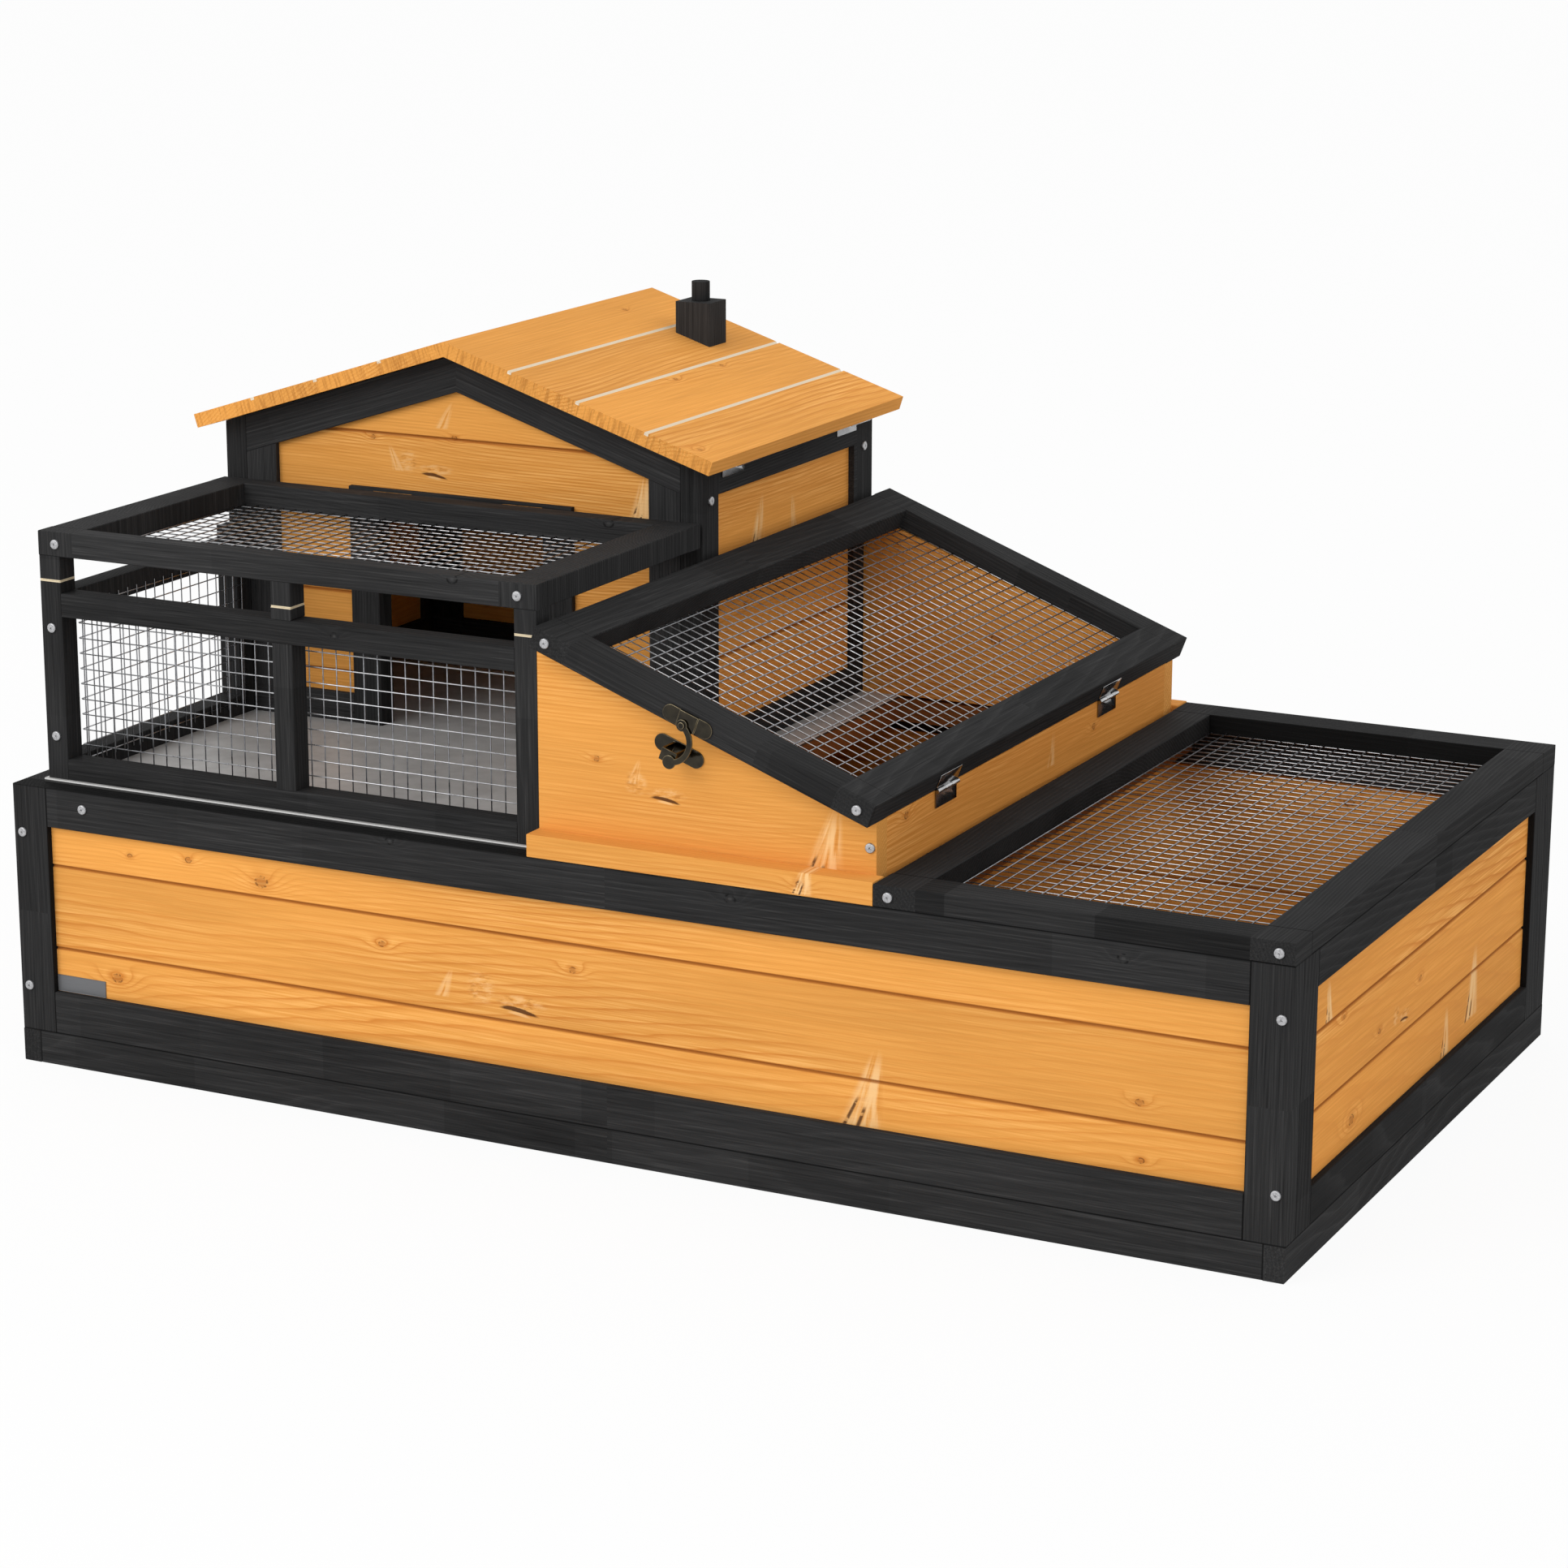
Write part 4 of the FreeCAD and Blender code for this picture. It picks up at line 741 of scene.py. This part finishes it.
def joined(name, pieces):
    """One piece out of several, with its place in its mesh."""
    only(*pieces)
    if len(pieces) > 1:
        bpy.ops.object.join()
    piece = bpy.context.view_layer.objects.active
    bpy.ops.object.transform_apply(location=True, rotation=True, scale=True)
    piece.name = name
    piece.data.name = name
    return piece


def finished(piece, *materials):
    """Give a piece its finishes."""
    piece.data.materials.clear()
    for material in materials:
        piece.data.materials.append(material)
    return piece


def fitted(piece, body, slot, *replaced):
    """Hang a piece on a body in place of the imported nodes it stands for."""
    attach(piece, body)
    if replaced:
        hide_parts(*replaced)
    print(piece.name, len(piece.data.polygons), "faces on", body)


print("piece helpers ready")

# %% [markdown]
# The mesh panels are welded wire: two layers of straight round wires at half an inch, one layer on the other.
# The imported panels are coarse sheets, so each is replaced by real wires. One wire is a thin cylinder with
# its cut ends bevelled, and an Array sets out the rest. The layers sink into each other a little at the welds.
# The upper layer is made alike and has X and Y swapped. That mirrors it, so its faces are turned outward again.

# %% Welded wire
WIRE_RADIUS = 0.00052
WIRE_PITCH = 0.0127
WIRE_SIDES = 8
WIRE_END_BEVEL = 0.0002
WELD_SINK = 0.0003
NEAR = 1e-5
SWAP_XY = Matrix(((0, 1, 0, 0), (1, 0, 0, 0), (0, 0, 1, 0), (0, 0, 0, 1)))


def wire_row(length, width, height):
    """Wires of one length along X, set out side by side to fill a width along Y."""
    count = int(width / WIRE_PITCH) + 1
    first = (width - (count - 1) * WIRE_PITCH) / 2
    bpy.ops.object.select_all(action="DESELECT")
    bpy.ops.mesh.primitive_cylinder_add(
        vertices=WIRE_SIDES, radius=WIRE_RADIUS, depth=length, location=(length / 2, first, height),
        rotation=(0, math.pi / 2, 0))
    wire = bpy.context.object
    bpy.ops.object.transform_apply(location=True, rotation=True)
    pick(wire, "EDGE", lambda middle: middle.x < NEAR or middle.x > length - NEAR)
    bpy.ops.mesh.bevel(offset=WIRE_END_BEVEL, segments=1)
    bpy.ops.object.mode_set(mode="OBJECT")
    modified(wire, "ARRAY", count=count, use_relative_offset=False, use_constant_offset=True,
             constant_offset_displace=(0, WIRE_PITCH, 0))
    only(wire)
    bpy.ops.object.shade_smooth_by_angle(angle=math.radians(50))
    return wire


def wire_panel(name, node, body, length, width, place):
    """Two crossing rows of wires, lying flat and then carried to a place."""
    low = wire_row(length, width, WIRE_RADIUS)
    high = wire_row(width, length, WIRE_RADIUS * 3 - WELD_SINK)
    high.matrix_world = SWAP_XY
    # Painted highlight: the long wires take the brighter zinc.
    finished(low, wire_painted_highlight)
    finished(high, wire_zinc)
    panel = joined(name, [high, low])
    bpy.ops.object.mode_set(mode="EDIT")
    bpy.ops.mesh.select_all(action="SELECT")
    bpy.ops.mesh.normals_make_consistent(inside=False)
    bpy.ops.object.mode_set(mode="OBJECT")
    panel.matrix_world = place
    joined(name, [panel])
    fitted(panel, body, "mesh_wire", node)


def carried(corner, along, across):
    """A placement with X and Y turned to two directions and the start at a corner."""
    return Matrix.Translation(corner) @ Matrix((along, across, along.cross(across))).transposed().to_4x4()


low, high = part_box("balcony_front_mesh")
wire_panel("balcony_front_wires", "balcony_front_mesh", "base", high[0] - low[0], high[2] - low[2],
           carried(Vector((high[0], low[1], low[2])), -X, Z))
low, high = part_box("balcony_side_mesh")
wire_panel("balcony_side_wires", "balcony_side_mesh", "base", high[1] - low[1], high[2] - low[2],
           carried(Vector((low[0], low[1], low[2])), Y, Z))
low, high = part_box("balcony_lid_mesh")
wire_panel("balcony_lid_wires", "balcony_lid_mesh", "balcony_lid", high[0] - low[0], high[1] - low[1],
           carried(Vector(low), X, Y))
low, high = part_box("flat_lid_mesh")
wire_panel("flat_lid_wires", "flat_lid_mesh", "flat_lid", high[0] - low[0], high[1] - low[1],
           carried(Vector(low), X, Y))
start, end = reach("sloped_lid_mesh", DOWN_LID)
under = reach("sloped_lid_mesh", OUT_OF_LID)[0]
low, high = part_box("sloped_lid_mesh")
wire_panel("sloped_lid_wires", "sloped_lid_mesh", "sloped_lid", end - start, high[1] - low[1],
           carried(DOWN_LID * start + OUT_OF_LID * under + Y * low[1], DOWN_LID, Y))

# %% [markdown]
# The screws are small pan heads with a cross recess. One head is turned from a cylinder: its rim is bevelled round,
# and the cross is two thin blocks cut out by Boolean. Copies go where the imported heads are.
# Each is turned a different way, because nobody lines up the slots of screws on a garden hutch.

# %% Screw heads
SCREW_RADIUS = 0.0040
SCREW_HEAD = 0.0018
SCREW_SIDES = 28
SCREW_RIM = 0.0011
RECESS = (0.0042, 0.0008, 0.0018)
RECESS_TAPER = (0.55, 0.55, 1.0)
FIRST_TURN, NEXT_TURN = 0.4, 1.9


def screw_head():
    """One pan head that stands on the origin and faces up."""
    bpy.ops.object.select_all(action="DESELECT")
    bpy.ops.mesh.primitive_cylinder_add(
        vertices=SCREW_SIDES, radius=SCREW_RADIUS, depth=SCREW_HEAD, location=(0, 0, SCREW_HEAD / 2))
    head = bpy.context.object
    bpy.ops.object.transform_apply(location=True)
    pick(head, "EDGE", lambda middle: middle.z > SCREW_HEAD - NEAR)
    bpy.ops.mesh.bevel(offset=SCREW_RIM, segments=4, profile=0.55)
    bpy.ops.object.mode_set(mode="OBJECT")
    for half_turn in (0.0, math.pi / 2):
        bpy.ops.object.select_all(action="DESELECT")
        bpy.ops.mesh.primitive_cube_add(size=1.0, location=(0, 0, SCREW_HEAD), rotation=(0, 0, half_turn))
        blade = bpy.context.object
        blade.scale = RECESS
        only(blade)
        bpy.ops.object.transform_apply(location=True, rotation=True, scale=True)
        pick(blade, "FACE", lambda middle: middle.z < SCREW_HEAD)
        bpy.ops.transform.resize(value=RECESS_TAPER)
        bpy.ops.object.mode_set(mode="OBJECT")
        modified(head, "BOOLEAN", operation="DIFFERENCE", object=blade, solver="EXACT")
        bpy.data.objects.remove(blade)
    only(head)
    bpy.ops.object.shade_smooth_by_angle(angle=math.radians(35))
    return head


def screw_places(node):
    """Foot and facing of each packed screw head: its thin direction, taken as +X, -Y or +Z."""
    groups = []
    for vertex in nodes[node].data.vertices:
        near = [group for group in groups if (group[0] - vertex.co).length < 2.2 * SCREW_RADIUS]
        if near:
            near[0].append(vertex.co.copy())
        else:
            groups.append([vertex.co.copy()])
    places = []
    for group in groups:
        low = Vector([min(corner[axis] for corner in group) for axis in range(3)])
        high = Vector([max(corner[axis] for corner in group) for axis in range(3)])
        thin = min(range(3), key=lambda axis: high[axis] - low[axis])
        facing = (X, -Y, Z)[thin]
        middle = (low + high) / 2
        places.append((middle - facing * (high[thin] - low[thin]) / 2, facing))
    return places


pattern = screw_head()


def screws(name, body, places, *replaced):
    """Copies of the pattern head at some places."""
    copies = []
    for index, (foot, facing) in enumerate(places):
        head = pattern.copy()
        head.data = pattern.data.copy()
        bpy.context.scene.collection.objects.link(head)
        turned = Matrix.Rotation(FIRST_TURN + NEXT_TURN * index, 4, "Z")
        head.matrix_world = Matrix.Translation(foot) @ facing.to_track_quat("Z", "Y").to_matrix().to_4x4() @ turned
        copies.append(head)
    fitted(finished(joined(name, copies), screw_zinc), body, "screw_zinc", *replaced)


POST_X = 0.5435
POST_BACK = 0.3152
POST_HEADS = (0.197, 0.066)
back_heads = [(Vector((side * POST_X, POST_BACK, height)), Y) for side in (-1, 1) for height in POST_HEADS]
screws("base_screw_heads", "base", screw_places("base_screws"), "base_screws")
screws("back_post_screw_heads", "base", back_heads)
screws("balcony_lid_screw_heads", "balcony_lid", screw_places("balcony_lid_screws"), "balcony_lid_screws")
screws("sloped_lid_screw_heads", "sloped_lid", screw_places("sloped_lid_screws"), "sloped_lid_screws")
screws("flat_lid_screw_heads", "flat_lid", screw_places("flat_lid_screws"), "flat_lid_screws")
bpy.data.objects.remove(pattern)

# %% [markdown]
# Hinges, latch and chimney pot have the right shapes already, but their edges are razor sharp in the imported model.
# A copy of each is welded, its flat faces are merged, and a small Bevel rounds what a press or a lathe would round.

# %% Pressed and turned pieces
LEAF_AREA = 2e-5
SHARP = math.radians(40)
HINGE_ROUND = 0.00018
POT_ROUND = 0.0006


def softened(name, node, width, segments, *materials):
    """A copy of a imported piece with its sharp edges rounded. The rounded edges take the last finish."""
    piece = bpy.data.objects.new(name, nodes[node].data.copy())
    bpy.context.scene.collection.objects.link(piece)
    finished(piece, *materials)
    only(piece)
    bpy.ops.object.mode_set(mode="EDIT")
    bpy.ops.mesh.select_all(action="SELECT")
    bpy.ops.mesh.remove_doubles(threshold=1e-6)
    bpy.ops.mesh.dissolve_limited(angle_limit=math.radians(1))
    bpy.ops.object.mode_set(mode="OBJECT")
    modified(piece, "BEVEL", width=width, segments=segments, limit_method="ANGLE",
             angle_limit=SHARP, material=len(materials) - 1)
    only(piece)
    bpy.ops.object.shade_smooth_by_angle(angle=SHARP)
    return piece


for node, body in (("fixed_hinge_leaves", "base"), ("roof_hinge_leaves", "roof"),
                   ("balcony_lid_hinge_leaves", "balcony_lid"), ("sloped_lid_hinge_leaves", "sloped_lid"),
                   ("flat_lid_hinge_leaves", "flat_lid")):
    hinge = softened(node + "_pressed", node, HINGE_ROUND, 2, hinge_dark_reflection, hinge_edge_highlight)
    # Painted highlight: small faces and rounded edges get the bright copy.
    for face in hinge.data.polygons:
        if face.area < LEAF_AREA:
            face.material_index = 1
    fitted(hinge, body, "hinge_steel", node)
for node, body, width in (("latch_plate", "sloped_lid", 0.00045), ("latch_rivet", "sloped_lid", 0.0009),
                          ("latch_keeper", "base", 0.0004), ("latch_hook", "hook", 0.0004)):
    fitted(softened(node + "_cast", node, width, 3, latch_bronze, latch_rub), body, "latch_bronze", node)
pot_stain = black_finish("chimney_pot_stain", plain_lay(UPRIGHT), 3)
fitted(softened("chimney_pot_turned", "chimney_pot", POT_ROUND, 2, pot_stain), "roof", "black_timber", "chimney_pot")

# %% [markdown]
# A small metal plate sits at the lower left of the front boards.
# It is blank: a thin sheet with rounded edges, a raised rim from an inset, and a brushed face.

# %% Blank plate
PLATE_LOW = Vector((-0.5185, -0.3121, 0.0634))
PLATE_SIZE = Vector((0.0475, 0.0008, 0.0140))
PLATE_RIM = 0.0007
PLATE_SINK = 0.0002
PLATE_ROUND = 0.00015
PLATE_DARK, PLATE_LIGHT = (0.115, 0.118, 0.125), (0.175, 0.178, 0.185)

bpy.ops.object.select_all(action="DESELECT")
bpy.ops.mesh.primitive_cube_add(size=1.0, location=PLATE_LOW + PLATE_SIZE / 2)
plate = bpy.context.object
plate.scale = PLATE_SIZE
only(plate)
bpy.ops.object.transform_apply(location=True, rotation=True, scale=True)
pick(plate, "FACE", lambda middle: middle.y < PLATE_LOW.y + NEAR)
bpy.ops.mesh.inset(thickness=PLATE_RIM)
bpy.ops.transform.translate(value=(0, PLATE_SINK, 0))
bpy.ops.object.mode_set(mode="OBJECT")
modified(plate, "BEVEL", width=PLATE_ROUND, segments=2, limit_method="ANGLE", angle_limit=SHARP)
plate_face, shader, place = new_finish("plate_brushed")
brush = noise(point(place.along(X) * 60.0, place.along(Z) * 3000.0, place.along(Y) * 0.0), 2.0)
feed(shader, Base_Color=brush.between(PLATE_DARK, PLATE_LIGHT), Metallic=0.35, Roughness=brush * 0.2 + 0.38)
fitted(finished(joined("blank_plate", [plate]), plate_face), "base", "screw_zinc")

# %% [markdown]
# The studio is a white sweep: a plain floor under a bright, even sky, with one broad lamp in front and to the left.
# To the camera, to polished metal and to glass the surround is plain white. For lighting it is dimmer.
# The floor is part glow and part matt paint, so it stays white and still takes the object's shadow.

# %% Studio
SKY_LEVEL = 0.82
FLOOR_GLOW = 0.93
LAMP_POWER = 62.0
LAMP_PLACE = Vector((-1.5, -3.0, 2.5))
LAMP_SIZE = 2.6
LAMP_TARGET = Vector((0, 0, 0.2))
FLOOR_SIZE = 30.0
FLOOR_DROP = 0.0004
FLOOR_PAINT = (0.84, 0.84, 0.84, 1.0)
WHITE = (1, 1, 1, 1)


def seen_rays(field):
    """1 for rays from the camera, from a mirror and through glass, and 0 for rays that only light things."""
    rays = field.node("LightPath", out="Is Camera Ray")
    for kind in ("Is Glossy Ray", "Is Transmission Ray"):
        rays = rays.math("MAXIMUM", field.node("LightPath", out=kind))
    return rays


bpy.ops.object.select_all(action="DESELECT")
bpy.ops.mesh.primitive_plane_add(size=FLOOR_SIZE, location=(0, 0, -FLOOR_DROP))
floor = bpy.context.object
floor.name = "floor"
paint, shader, place = new_finish("floor_paint")
rays = seen_rays(place)
glow = place.node("Emission", {}, {"Color": WHITE, "Strength": 1.0})
feed(shader, Base_Color=FLOOR_PAINT, Roughness=0.9, Specular_IOR_Level=0.0)
surface = rays.node("MixShader", {}, {0: rays * FLOOR_GLOW, 1: Field(shader.outputs[0]), 2: glow})
output = paint.node_tree.nodes["Material Output"]
paint.node_tree.links.new(surface.socket, output.inputs["Surface"])
floor.data.materials.append(paint)

world = bpy.data.worlds.new("studio")
bpy.context.scene.world = world
world.use_nodes = True
background = world.node_tree.nodes["Background"]
brightness = seen_rays(Field(background.outputs[0])) * (1.0 - SKY_LEVEL) + SKY_LEVEL
feed(background, Color=WHITE, Strength=brightness)

lamp_data = bpy.data.lights.new("softbox", "AREA")
lamp_data.energy = LAMP_POWER
lamp_data.size = LAMP_SIZE
lamp = bpy.data.objects.new("softbox", lamp_data)
bpy.context.scene.collection.objects.link(lamp)
lamp.location = LAMP_PLACE
lamp.rotation_euler = (LAMP_TARGET - LAMP_PLACE).to_track_quat("-Z", "Y").to_euler()
print("studio ready")
